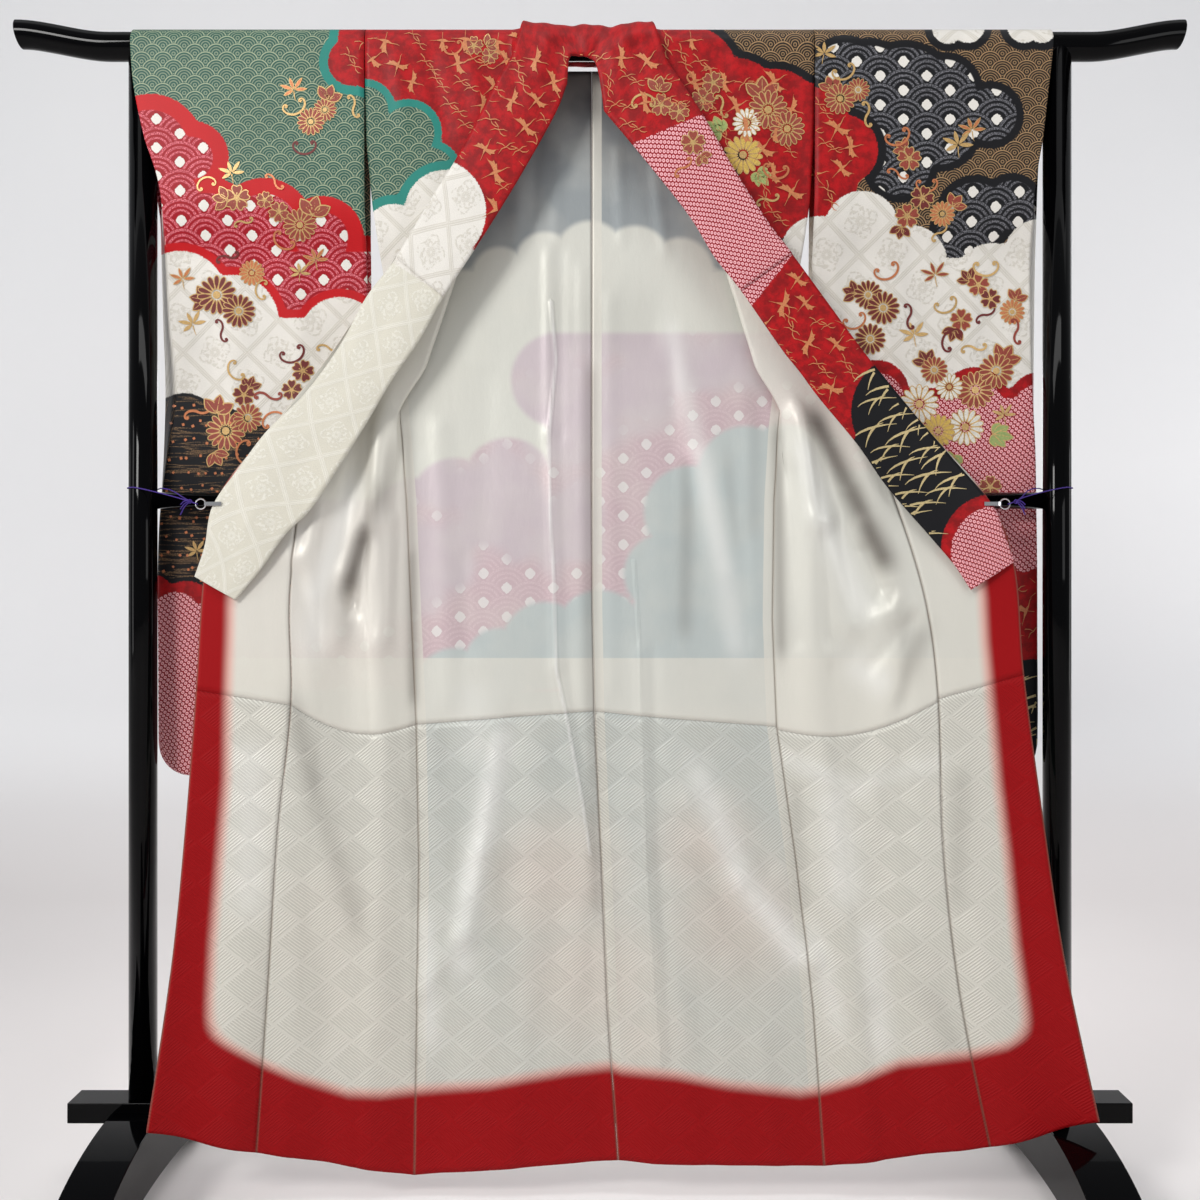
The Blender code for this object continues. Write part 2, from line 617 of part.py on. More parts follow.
def stand():
    def bar_ring(x):
        lift = BAR_RISE * soft((abs(x) - 0.71) / (BAR_HALF - 0.71)) if abs(x) > 0.71 else 0.0
        lean = 0.006 if abs(x) > BAR_HALF - 0.001 else 0.0
        return lambda a: (x + math.copysign(lean, x) * math.sin(a) * 0.5 - math.copysign(lean, x) * 0.5,
                          BAR_R * math.cos(a), BAR_Z + lift + BAR_R * math.sin(a))
    stops = (-BAR_HALF, -0.80, -0.755, -0.71, 0.71, 0.755, 0.80, BAR_HALF)
    tube("top_bar", [bar_ring(x) for x in stops], 24)
    for side, s in (("right", -1), ("left", 1)):
        def saddle(a, s=s):
            y = POST_R * math.cos(a)
            x = POST_R * math.sin(a)
            z = BAR_Z - math.sqrt((BAR_R + FIT) ** 2 - y * y)
            return (s * POST_X + x, y, z)

        def floor_ring(a, s=s):
            return (s * POST_X + POST_R * math.sin(a), POST_R * math.cos(a), RAIL_TOP + FIT)
        tube("post_" + side, [floor_ring, saddle], 24)
        rise = []
        for i in range(13):
            y = 0.0268 + (FOOT_HALF_L - 0.004 - 0.0268) * math.sin(math.pi / 2 * i / 12)
            z = FOOT_CROWN * math.sqrt(max(1 - (y / FOOT_HALF_L) ** 2, 0.0))
            rise.append((y, max(z, 0.014)))
        notch = [(0.0262, RAIL_LOW - FIT)]
        under = []
        for i in range(9):
            y = 0.200 * math.cos(math.pi / 2 * i / 8)
            under.append((y, FOOT_ARCH * math.sqrt(max(1 - (y / 0.200) ** 2, 0.0))))
        half = notch + rise + [(FOOT_HALF_L, 0.010), (FOOT_HALF_L - 0.003, 0.0)] + under
        other = [(-y, z) for y, z in half[::-1]][1:]
        outline = half + other
        prism("foot_" + side, outline, "x", s * POST_X - FOOT_HALF_W, s * POST_X + FOOT_HALF_W,
              bevel=0.0012)
    inner = POST_X - POST_R

    def mid_ring(s):
        def ring(a):
            y, z = MID_R * math.cos(a), MID_R * math.sin(a)
            x = POST_X - math.sqrt((POST_R + FIT) ** 2 - y * y)
            return (s * x, y, MID_Z + z)
        return ring
    tube("mid_rail", [mid_ring(-1), mid_ring(1)], 20)
    box = ((-RAIL_HALF_Y, RAIL_LOW), (RAIL_HALF_Y, RAIL_LOW), (RAIL_HALF_Y, RAIL_TOP),
           (-RAIL_HALF_Y, RAIL_TOP))
    prism("bottom_rail", box, "x", -RAIL_HALF_X, RAIL_HALF_X, bevel=0.0015)


def wire(name, points, radius, colour, closed=False, sides=8, rough=0.4):
    """Round thread through points, swept with rings set square to the way."""
    pts = [np.array(p) for p in points]
    n = len(pts)
    bm = bmesh.new()
    loops = []
    up = np.array((0.0, 0.3, 1.0))
    up /= np.linalg.norm(up)
    for i in range(n):
        if closed:
            d = pts[(i + 1) % n] - pts[i - 1]
        else:
            d = pts[min(i + 1, n - 1)] - pts[max(i - 1, 0)]
        d = d / np.linalg.norm(d)
        side = np.cross(d, up)
        side /= np.linalg.norm(side)
        up = np.cross(side, d)
        ring = []
        for j in range(sides):
            a = 2 * math.pi * j / sides
            ring.append(bm.verts.new(pts[i] + radius * (math.cos(a) * side + math.sin(a) * up)))
        loops.append(ring)
    pairs = list(zip(loops, loops[1:]))
    for a, b in pairs:
        for j in range(sides):
            k = (j + 1) % sides
            bm.faces.new((a[j], a[k], b[k], b[j]))
    if closed:
        a, b = loops[-1], loops[0]
        gaps = [sum((a[j].co - b[(j + s) % sides].co).length for j in range(sides)) for s in range(sides)]
        s = gaps.index(min(gaps))
        for j in range(sides):
            k = (j + 1) % sides
            bm.faces.new((a[j], a[k], b[(k + s) % sides], b[(j + s) % sides]))
    else:
        bm.faces.new(loops[0])
        bm.faces.new(loops[-1])
    return finish(name, bm, colour, rough)


# Clips: middle of the bend, x and z per side; the bend holds the edge of collar and gore between its arms
CLIP = {"right": (-0.5530, 0.9925), "left": (0.5610, 0.9925)}
CLIP_Y = -0.0526
CLIP_ARM = 0.0060
CLIP_WALL = 0.0009
CLIP_HALF = 0.0027
CLIP_JAW = (-0.0582, -0.0477)
CLIP_LEN = 0.020
RING_R = 0.0072
RING_T = 0.0011
CORD_R = 0.0008
CORD_Z = 1.0190


def clips():
    """Bent clip over the cloth's edge, ring through its bend, cord through the ring and round the post."""
    for side, s in (("right", -1), ("left", 1)):
        cx, cz = CLIP[side]
        half = CLIP_WALL / 2
        mid = [(cx - s * CLIP_LEN, CLIP_JAW[1])]
        for i in range(9):
            a = math.pi / 2 - math.pi * i / 8
            mid.append((cx + s * CLIP_ARM * math.cos(a), CLIP_Y + CLIP_ARM * math.sin(a)))
        mid.append((cx - s * CLIP_LEN, CLIP_JAW[0]))
        outer, inner = [], []
        for i, p in enumerate(mid):
            a, b = mid[max(i - 1, 0)], mid[min(i + 1, len(mid) - 1)]
            d = math.hypot(b[0] - a[0], b[1] - a[1])
            n = ((b[1] - a[1]) / d * half, -(b[0] - a[0]) / d * half)
            outer.append((p[0] + n[0], p[1] + n[1]))
            inner.append((p[0] - n[0], p[1] - n[1]))
        prism("clip_" + side, outer + inner[::-1], "z", cz - CLIP_HALF, cz + CLIP_HALF,
              colour=(0.75, 0.75, 0.76))
        hole = RING_R - RING_T
        drop = hole - math.sqrt(hole ** 2 - CLIP_HALF ** 2)
        rx = cx + s * (CLIP_ARM - half - FIT - drop + hole)
        ring = []
        for i in range(20):
            a = 2 * math.pi * i / 20
            ring.append((rx + RING_R * math.cos(a), CLIP_Y, cz + RING_R * math.sin(a)))
        wire("clip_ring_" + side, ring, RING_T, (0.85, 0.85, 0.86), closed=True)
        px = s * POST_X
        reach = POST_R + CORD_R + FIT + 0.0002
        tie = RING_T + CORD_R + FIT
        eye = rx + s * RING_R
        loop = [(eye + s * tie * math.cos(a), CLIP_Y - tie * math.sin(a), cz + 0.0004 * i)
                for i, a in enumerate((math.pi, math.pi * 0.75, math.pi * 0.5))]
        loop.append((px - s * 0.060, -0.0420, cz + 0.0110))
        for i in range(17):
            a = math.radians(-72 + 222 * i / 16)
            loop.append((px + s * reach * math.cos(a), reach * math.sin(a), CORD_Z))
        loop.append((px - s * 0.0300, -0.0080, CORD_Z - 0.0005))
        loop.append((px - s * 0.0500, -0.0260, CORD_Z - 0.0050))
        loop.append((eye + s * 0.0150, CLIP_Y + 0.0080, cz + 0.0070))
        loop += [(eye + s * tie * math.cos(a), CLIP_Y + tie * math.sin(a), cz + 0.0004 * (2 - i))
                 for i, a in enumerate((math.pi * 0.5, math.pi * 0.75))]
        wire("clip_cord_" + side, loop, CORD_R, (0.12, 0.05, 0.25), closed=True, sides=6, rough=0.7)


stand()
for part_side in ("right", "left"):
    body_pts, wide_pts = body(part_side)
    linings(part_side, body_pts, wide_pts)
    gore(part_side)
    sleeve(part_side)
strip = collar_points()
sheet("collar", strip, COLLAR_T, (0.60, 0.05, 0.06))
part = strip[COVER_ROW:len(strip) - COVER_ROW]
sheet("collar_cover", toward_viewer(part, 0.0021), 0.0010, (0.62, 0.05, 0.06))
clips()
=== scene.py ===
"""Furisode hung open on a black lacquered stand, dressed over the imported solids.

Metres, +Z up, the viewer stands at -Y. Right and left are the wearer's: the wearer's right is at -X.
"""
import math
import random
import bmesh
import bpy
import numpy as np
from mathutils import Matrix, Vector
from mathutils.bvhtree import BVHTree


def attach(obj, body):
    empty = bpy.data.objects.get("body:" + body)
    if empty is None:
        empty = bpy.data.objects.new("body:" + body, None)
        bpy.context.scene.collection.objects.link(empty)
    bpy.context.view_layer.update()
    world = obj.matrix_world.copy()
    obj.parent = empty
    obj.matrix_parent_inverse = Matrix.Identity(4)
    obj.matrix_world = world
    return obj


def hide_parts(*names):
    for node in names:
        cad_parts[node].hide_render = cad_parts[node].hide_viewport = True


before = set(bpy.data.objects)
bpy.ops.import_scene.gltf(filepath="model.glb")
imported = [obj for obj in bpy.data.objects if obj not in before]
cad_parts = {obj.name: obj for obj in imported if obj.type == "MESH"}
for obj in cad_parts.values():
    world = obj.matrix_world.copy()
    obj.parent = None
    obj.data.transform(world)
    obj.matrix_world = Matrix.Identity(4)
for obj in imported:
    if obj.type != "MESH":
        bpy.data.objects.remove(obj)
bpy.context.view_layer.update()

bl_info = {
    "name": "Furisode on a stand",
    "version": (1, 0, 0),
    "blender": (4, 5, 0),
    "location": "3D View > Sidebar > Furisode",
    "description": "Builds a long-sleeved kimono hung open over a lacquered stand",
    "category": "Add Mesh",
}

# The photograph's square frame in pixels: its side and its middle
FRAME, MIDDLE = 1200, 600
# Where the garment's centre seam stands across the picture
CENTRE = 590.0
# Camera: distance of the eye, its height, and the frame's pixels for one metre at one metre
EYE_Y, EYE_Z, FOCAL = 1.85, 0.857, 1273.0
# The wearer's sides and their signs along X
SIGN = {"right": -1, "left": 1}

# Stand: radius, height, half length and rise of the bar's ends; posts; middle rail; bottom rail; feet with
# the seat that the rail lies in; and the gap between members
BAR_R, BAR_Z, BAR_HALF, BAR_RISE = 0.0203, 1.6606, 0.847, 0.018
# Along the bar: where its ends start to rise and to lean, and how far they lean
RISE_START, LEAN_START, LEAN = 0.71, 0.80, 0.006
POST_R, POST_X = 0.0200, 0.664
MID_R, MID_Z = 0.0120, 1.0014
RAIL_HALF_X, RAIL_HALF_Y, RAIL_LOW, RAIL_TOP = 0.764, 0.0255, 0.1064, 0.1355
FOOT_HALF_L, FOOT_HALF_W, FOOT_CROWN, FOOT_ARCH = 0.280, 0.036, 0.122, 0.036
SEAT_HALF, SEAT_RIM = 0.0262, 0.0268
# Feet: least height of the outline above the floor, the toe's height and setback, and half the arch's span
FOOT_LOW, TOE, TOE_BACK, ARCH_HALF = 0.014, 0.010, 0.003, 0.2
FIT = 0.0004

# Cloth: radius over the bar, way from a panel to its lining, half the gap at a seam, and how far linings
# are drawn over each other at the level seam and out to their neighbours
SHOULDER_R, LINING_GAP, SEAM, LAP, REACH = 0.0227, 0.0017, 0.0005, 0.0001, 0.0004
# Values of a mark that is far from any seam, and well outside a cloud field
FAR, OUTSIDE = 0.05, -0.08
# In pixels: rounding of the border's corners, and how softly a painted fold shade or highlight and a fold end
# along their lines
CORNER, PAINTED_SHADE_END, FOLD_SOFT = 9.0, 20.0, 30.0
# Heights on the photograph: where the outer cloth's front fields end, and where their show-through does
OUTER_END, OUTER_FOOT = 330, 658.0
# Prints: way above the cloth, and the step between those that lie on each other
PRINT_GAP, PRINT_STEP = 0.0006, 0.00012
# Way from the eye past the garment, from where its back is printed; longest edge left in a motif's model, in
# its own size; longest edge of a face on the cloth; and the share of cranes drawn far off
PAST, MODEL_EDGE, TORN_EDGE, FAR_CRANES = 6.0, 0.34, 0.05, 0.45

# Rows from the hem (0) to the bar's centre height (13), in centimetres and per side:
# side seam or armhole x z, fold x, gore seam or collar seam x z, gore's free edge x z
FRONT = {
    "right": (
        (-26.5, 3.7, 0.0, -48.2, 8.3, -62.4, 12.5),
        (-26.2, 27.1, 0.0, -46.7, 31.1, -59.5, 34.7),
        (-26.0, 48.5, 0.0, -45.5, 52.1, -57.9, 54.9),
        (-26.4, 67.8, 0.0, -43.7, 70.8, -56.8, 73.0),
        (-27.1, 82.8, 0.0, -44.0, 85.7, -56.0, 88.4),
        (-27.9, 100.1, -28.6, -42.7, 99.9, -54.2, 99.8),
        (-28.8, 110.2, -28.0, -40.1, 109.9, -46.8, 109.7),
        (-29.8, 120.0, -25.3, -36.3, 119.8, -38.6, 119.9),
        (-30.8, 129.0, -22.3, -31.8, 129.0, -32.6, 129.0),
        (-31.6, 134.5, -20.5, -29.0, 134.5, -29.0, 134.5),
        (-32.8, 143.0, -18.0, -23.4, 143.0, -23.4, 143.0),
        (-33.6, 152.0, -15.0, -18.2, 152.0, -18.2, 152.0),
        (-33.7, 160.0, -12.6, -14.4, 160.0, -14.4, 160.0),
        (-33.7, 166.06, -10.8, -11.5, 166.06, -11.5, 166.06),
    ),
    "left": (
        (32.0, 5.0, 0.0, 54.7, 9.1, 68.7, 14.0),
        (30.5, 27.5, 0.0, 50.6, 30.2, 64.6, 35.1),
        (28.1, 48.5, 0.0, 48.4, 50.4, 61.9, 55.6),
        (25.4, 67.5, 0.0, 47.8, 71.7, 59.6, 75.2),
        (24.8, 82.8, 0.0, 46.1, 85.7, 58.5, 90.6),
        (25.1, 100.1, 25.8, 41.9, 99.9, 55.0, 99.8),
        (25.8, 110.2, 25.0, 37.7, 109.9, 46.4, 109.7),
        (27.0, 120.0, 22.6, 33.8, 119.8, 37.4, 120.3),
        (28.3, 129.0, 19.9, 29.8, 129.0, 31.2, 129.0),
        (29.0, 134.5, 18.2, 27.0, 134.5, 27.0, 134.5),
        (30.2, 143.0, 16.0, 21.3, 143.0, 21.3, 143.0),
        (30.7, 152.0, 13.0, 15.9, 152.0, 15.9, 152.0),
        (30.7, 160.0, 10.0, 11.2, 160.0, 11.2, 160.0),
        (30.7, 166.06, 7.0, 7.7, 166.06, 7.7, 166.06),
    ),
}
# The same rows: centre seam x z, back y, first layer y, second layer y at its fold, gore seam y,
# free edge y, depth of the drape fold, all in centimetres
DEPTH = (
    (2.6, 5.8, -3.25, -3.25, -3.25, -6.5, -10.0, 1.0),
    (1.1, 27.2, -2.68, -2.68, -2.68, -6.0, -8.5, 0.8),
    (0.3, 46.5, -2.25, -2.25, -2.25, -5.5, -7.0, 0.6),
    (-0.8, 69.7, -1.95, -1.95, -1.95, -5.0, -6.0, 0.9),
    (-1.1, 84.0, -1.78, -1.78, -1.78, -4.5, -5.2, 1.8),
    (-1.2, 100.0, -1.40, -1.75, -2.25, -4.0, -5.0, 2.2),
    (-1.2, 110.2, -0.80, -1.75, -2.35, -4.0, -5.0, 1.2),
    (-1.2, 120.0, -0.30, -1.60, -2.25, -4.0, -5.0, 0.3),
    (-1.2, 129.0, 0.20, -1.40, -2.05, -4.2, -4.6, 0.0),
    (-1.2, 134.5, 0.60, -1.30, -1.95, -4.3, -4.3, 0.0),
    (-1.2, 143.0, 1.20, -1.50, -2.15, -3.9, -3.9, 0.0),
    (-1.2, 152.0, 1.70, -1.80, -2.55, -3.35, -3.35, 0.0),
    (-1.2, 160.0, 2.10, -2.10, -2.95, -3.10, -3.10, 0.0),
    (-1.2, 166.06, 2.27, -2.27, -3.00, -3.02, -3.02, 0.0),
)
NECK_X = {"right": -0.115, "left": 0.077}
# Rows of the lining's level seam, of the front linings' top, of the back's neck edge and of the bar
SEAM_ROW, LINING_TOP, NECK_ROW, TOP_ROW = 3.0, 9.0, 12.55, 13
# How far the level seam sags, and the shares across a front where its fold starts and ends
SAG, FOLD_START, FOLD_END = 0.026, 0.30, 0.51
# The front's upper lining is left out behind the fold: above this row, on this share across
HIDDEN_ROW, HIDDEN_SHARE = 6.0, 0.365

# Collar from the free end up to the neck: seam edge x z y, free edge x z y, in centimetres
COLLAR = {
    "right": (
        (-57.1, 89.0, -5.72, -51.3, 85.7, -5.80),
        (-55.7, 93.3, -5.62, -47.6, 90.2, -5.80),
        (-54.6, 99.0, -5.50, -44.3, 94.9, -5.80),
        (-50.7, 104.6, -5.50, -40.6, 98.6, -5.90),
        (-46.9, 109.6, -5.50, -36.5, 104.8, -5.95),
        (-41.6, 114.8, -5.55, -33.0, 110.3, -5.95),
        (-36.7, 121.5, -5.55, -29.3, 116.6, -5.90),
        (-32.9, 128.5, -5.45, -25.3, 122.5, -5.80),
        (-28.8, 134.0, -5.20, -22.1, 128.4, -5.50),
        (-24.4, 141.6, -4.75, -17.8, 135.1, -5.10),
        (-19.9, 149.2, -4.10, -12.2, 144.3, -4.45),
        (-14.6, 159.7, -3.50, -6.6, 154.5, -3.70),
        (-12.6, 163.1, -3.32, -4.7, 159.3, -3.35),
    ),
    "left": (
        (58.4, 91.1, -5.72, 52.2, 87.1, -5.80),
        (57.0, 94.9, -5.62, 49.9, 90.6, -5.80),
        (55.4, 99.0, -5.50, 46.5, 94.6, -5.80),
        (49.6, 105.8, -5.50, 40.4, 101.6, -5.90),
        (45.0, 111.1, -5.50, 36.2, 107.6, -5.95),
        (39.8, 117.4, -5.55, 30.9, 114.0, -5.95),
        (36.7, 121.3, -5.55, 28.1, 117.8, -5.90),
        (33.0, 126.4, -5.45, 25.3, 121.4, -5.80),
        (27.1, 134.6, -5.20, 19.9, 129.3, -5.50),
        (23.9, 138.9, -4.85, 16.2, 134.1, -5.20),
        (19.3, 146.3, -4.30, 12.5, 140.3, -4.65),
        (14.5, 154.9, -3.75, 6.3, 148.4, -4.00),
        (9.5, 162.6, -3.35, 0.6, 155.4, -3.42),
    ),
}
# Neck part laid over the bar: x and way over the bar (0 on top, + behind) of the seam edge and the
# free edge, radius, in centimetres
NECK = (
    (-11.5, -4.4, -4.5, -8.8, 3.25),
    (-11.0, -1.5, -4.3, -7.8, 3.15),
    (-10.2, 1.8, -3.9, -7.1, 2.85),
    (-8.6, 4.6, -3.3, -6.6, 2.55),
    (-5.0, 5.7, -2.9, -6.5, 2.52),
    (-1.2, 5.8, -2.4, -6.5, 2.52),
    (2.6, 5.7, -1.9, -6.6, 2.52),
    (5.6, 4.8, -1.4, -6.9, 2.55),
    (7.0, 1.8, -0.9, -7.7, 2.85),
    (7.5, -1.5, -0.5, -9.0, 3.15),
    (8.2, -4.4, -0.1, -10.8, 3.25),
)
# Row at which the cover begins on each side, and the number of the collar's last row
COVER_ROW, COLLAR_END = 8, 46
# Width of the flat collar, and the cover's way above it and thickness
COLLAR_WIDE, COVER_GAP, COVER_THICK = 0.105, 0.0021, 0.0010

# Sleeve rows going down: height, front layer's outer x, front y, back layer's outer x, back y, in cm
SLEEVE = {
    "right": (
        (166.06, -67.45, -2.27, -67.45, 2.27),
        (159.2, -66.9, -2.27, -67.2, 2.40),
        (152.0, -65.4, -2.26, -66.6, 2.60),
        (146.5, -63.6, -2.22, -65.6, 2.75),
        (141.5, -62.9, -1.90, -64.9, 2.90),
        (135.5, -62.8, -0.30, -64.8, 3.10),
        (126.0, -62.7, 0.90, -64.7, 3.40),
        (117.0, -62.1, 1.85, -64.5, 3.70),
        (108.0, -63.4, 2.25, -64.8, 3.90),
        (99.0, -64.8, 2.70, -65.3, 4.10),
        (90.0, -65.3, 3.00, -65.4, 4.30),
        (79.0, -65.3, 3.15, -65.4, 4.40),
        (69.0, -65.3, 3.25, -65.4, 4.35),
    ),
    "left": (
        (166.06, 65.1, -2.27, 65.1, 2.27),
        (159.2, 64.4, -2.27, 64.9, 2.40),
        (152.0, 63.6, -2.26, 64.7, 2.60),
        (146.5, 62.7, -2.22, 64.5, 2.75),
        (141.5, 62.4, -1.60, 64.4, 2.90),
        (135.5, 62.4, -0.10, 64.3, 3.10),
        (126.0, 62.8, 0.80, 64.3, 3.30),
        (117.0, 63.3, 1.50, 64.3, 3.50),
        (108.0, 63.9, 2.00, 64.4, 3.70),
        (99.0, 64.2, 2.40, 64.6, 3.80),
        (90.0, 64.4, 2.60, 64.7, 4.00),
        (79.0, 64.5, 2.80, 64.8, 4.10),
        (69.0, 64.6, 2.90, 64.8, 4.10),
    ),
}
# Sleeves: inner edge, lower edge, radius of the outer lower corner, and height where the cuff ends
SLEEVE_IN = {"right": -0.3385, "left": 0.3085}
SLEEVE_FOOT, SLEEVE_CORNER, CUFF_Z = 0.597, 0.045, 1.415

# Cloud fields, placed on the photograph's 1200 square. Each is a union of circles (across, down,
# radius), half planes (a, b, c; inside where a * across + b * down > c) and a side: -1 for the left half
# of the picture, 1 for the right half, 0 for both. Later ones lie on top.
CLOUDS = {
    "sleeve_right": (
        ("red_cranes", ((372, 40, 34), (352, 62, 24), (372, 66, 24)), (), 0),
        ("red_waves", ((150, 148, 54), (192, 158, 37), (165, 200, 50), (205, 235, 58), (264, 228, 50),
                       (322, 238, 42)), ((0, 1, 236),), 0),
        ("white", ((180, 298, 47), (232, 322, 47), (340, 337, 40)), ((0, 1, 318),), 0),
        ("black_haze", ((184, 428, 35), (222, 440, 33), (258, 455, 30)), ((0, 1, 441),), 0),
        ("red_plain", ((186, 612, 31), (150, 600, 26), (225, 616, 28)), ((0, 1, 594),), 0),
        ("pink_dots", ((176, 618, 26), (222, 622, 24)), ((0, 1, 604),), 0),
    ),
    "sleeve_left": (
        ("white", ((948, 28, 16), (968, 26, 17), (1024, 26, 17), (1042, 28, 15)), (), 0),
        ("black_ties", ((845, 75, 40), (870, 80, 42), (905, 95, 55), (945, 90, 38), (990, 115, 34),
                        (940, 130, 42), (900, 165, 38), (975, 215, 40), (1012, 205, 32), (960, 235, 32)),
         (), 0),
        ("red_cranes", ((812, 125, 38), (843, 150, 35), (820, 180, 38)), (), 0),
        ("white", ((820, 250, 34), (862, 228, 37), (910, 262, 37), (993, 283, 40), (1040, 255, 36)),
         ((0, 1, 258),), 0),
        ("red_plain", ((877, 392, 32), (975, 402, 35), (1040, 405, 33)), ((0, 1, 388),), 0),
        ("pink_dots", ((877, 400, 27), (975, 410, 30), (1040, 412, 28)), ((0, 1, 398),), 0),
        ("red_cranes", ((1000, 590, 26), (1040, 592, 24)), ((0, 1, 572),), 0),
        ("black_grass", ((1000, 690, 26), (1032, 684, 25)), ((0, 1, 668),), 0),
    ),
    "body_right": (
        ("teal_waves", ((365, 110, 31), (408, 133, 34), (430, 172, 32)), ((-1, 0.9, -280),), 0),
        ("white", ((480, 195, 38), (445, 210, 40), (393, 232, 28)), ((0, 1, 232),), 0),
        ("red_cranes", ((368, 292, 16),), (), 0),
    ),
    "body_left": (
        ("red_cranes", ((690, 75, 48), (735, 105, 47), (775, 115, 46), (800, 140, 58), (782, 192, 46)),
         ((-1, 0, -705),), 0),
        ("white", ((818, 254, 38),), ((0, 1, 268),), 0),
    ),
    "collar": (
        ("white", ((432, 212, 54),), ((-0.3, 1, 108),), -1),
        ("cream", (), ((-0.547, 0.837, 4.9),), -1),
        ("pink_dots", (), ((0.39, 0.92, 379),), 1),
        ("red_cranes", (), ((0.78, 0.62, 776),), 1),
        ("black_grass", ((910, 412, 59), (908, 470, 62)), ((1, 0, 895),), 1),
        ("red_plain", ((995, 548, 54),), ((1, 0, 1010),), 1),
        ("pink_dots", ((997, 552, 46),), ((1, 0, 1018),), 1),
    ),
}
# The back of the body; its colours also show through the cloth from the front
BEHIND = (
    ("white", ((430, 262, 40), (510, 285, 36), (575, 265, 44), (640, 270, 40), (715, 285, 42),
               (790, 270, 38)), ((0, 1, 275),), 0),
    ("red_waves", ((560, 372, 46), (590, 400, 60), (640, 400, 70), (720, 390, 60), (790, 400, 50),
                   (510, 482, 43), (440, 500, 38), (395, 520, 40)), ((0, 1, 492),), 0),
    ("teal_waves", ((735, 472, 46), (790, 480, 46), (680, 512, 42), (664, 570, 36), (600, 632, 46),
                    (545, 645, 46), (490, 668, 40), (430, 690, 40), (380, 700, 34)), ((0, 1, 668),), 0),
    ("white", ((340, 800, 50), (420, 838, 44), (500, 815, 46), (585, 840, 48), (670, 812, 48),
               (750, 830, 46), (830, 808, 44), (900, 830, 50)), ((0, 1, 835),), 0),
    ("black_ties", ((300, 960, 50), (380, 975, 40), (455, 955, 46), (540, 978, 46), (625, 958, 44),
                    (710, 975, 48), (800, 955, 44), (880, 975, 50)), ((0, 1, 975),), 0),
    ("red_cranes", ((290, 1085, 40), (400, 1092, 44), (505, 1075, 48), (600, 1095, 46), (690, 1078, 46),
                    (790, 1095, 50), (880, 1080, 44)), ((0, 1, 1090),), 0),
)
# What shows through the linings: (tint, circles, boxes as left, top, right, bottom)
VEILS = (
    ("cream", ((500, 275, 28), (545, 262, 30), (590, 256, 35), (635, 262, 36), (680, 272, 34)),
     ((0, 270, 1200, 1300),)),
    ("pink", ((558, 380, 47), (508, 484, 46), (455, 502, 44), (415, 520, 42)),
     ((548, 333, 1300, 1300), (0, 500, 1300, 1300))),
    ("teal", ((745, 472, 46), (785, 470, 46), (690, 512, 46), (664, 574, 40), (600, 636, 46), (545, 646, 44),
              (500, 664, 36), (455, 690, 42), (667, 610, 34)),
     ((690, 470, 1300, 1300), (560, 620, 1300, 1300), (0, 690, 1300, 1300))),
    ("blush", ((330, 930, 62), (556, 880, 58), (590, 980, 62), (740, 920, 60), (706, 850, 40),
               (350, 1010, 40), (640, 1040, 30)), ()),
)
# Inner edge of the red border on the lining: down, left across, right across
BORDER_SIDES = (
    (560, 238, 976), (597, 232, 981), (640, 231, 983), (701, 229, 989), (780, 228, 996), (860, 221, 1006),
    (941, 214, 1014), (1021, 210, 1026), (1160, 205, 1040),
)
# The same edge at the hem: across, down
BORDER_HEM = (
    (200, 1030), (228, 1044), (262, 1061), (295, 1075), (348, 1091), (380, 1092), (417, 1088), (487, 1083),
    (567, 1069), (610, 1064), (621, 1068), (675, 1073), (728, 1083), (800, 1091), (820, 1088), (860, 1077),
    (900, 1061), (967, 1053), (1008, 1044), (1040, 1030),
)
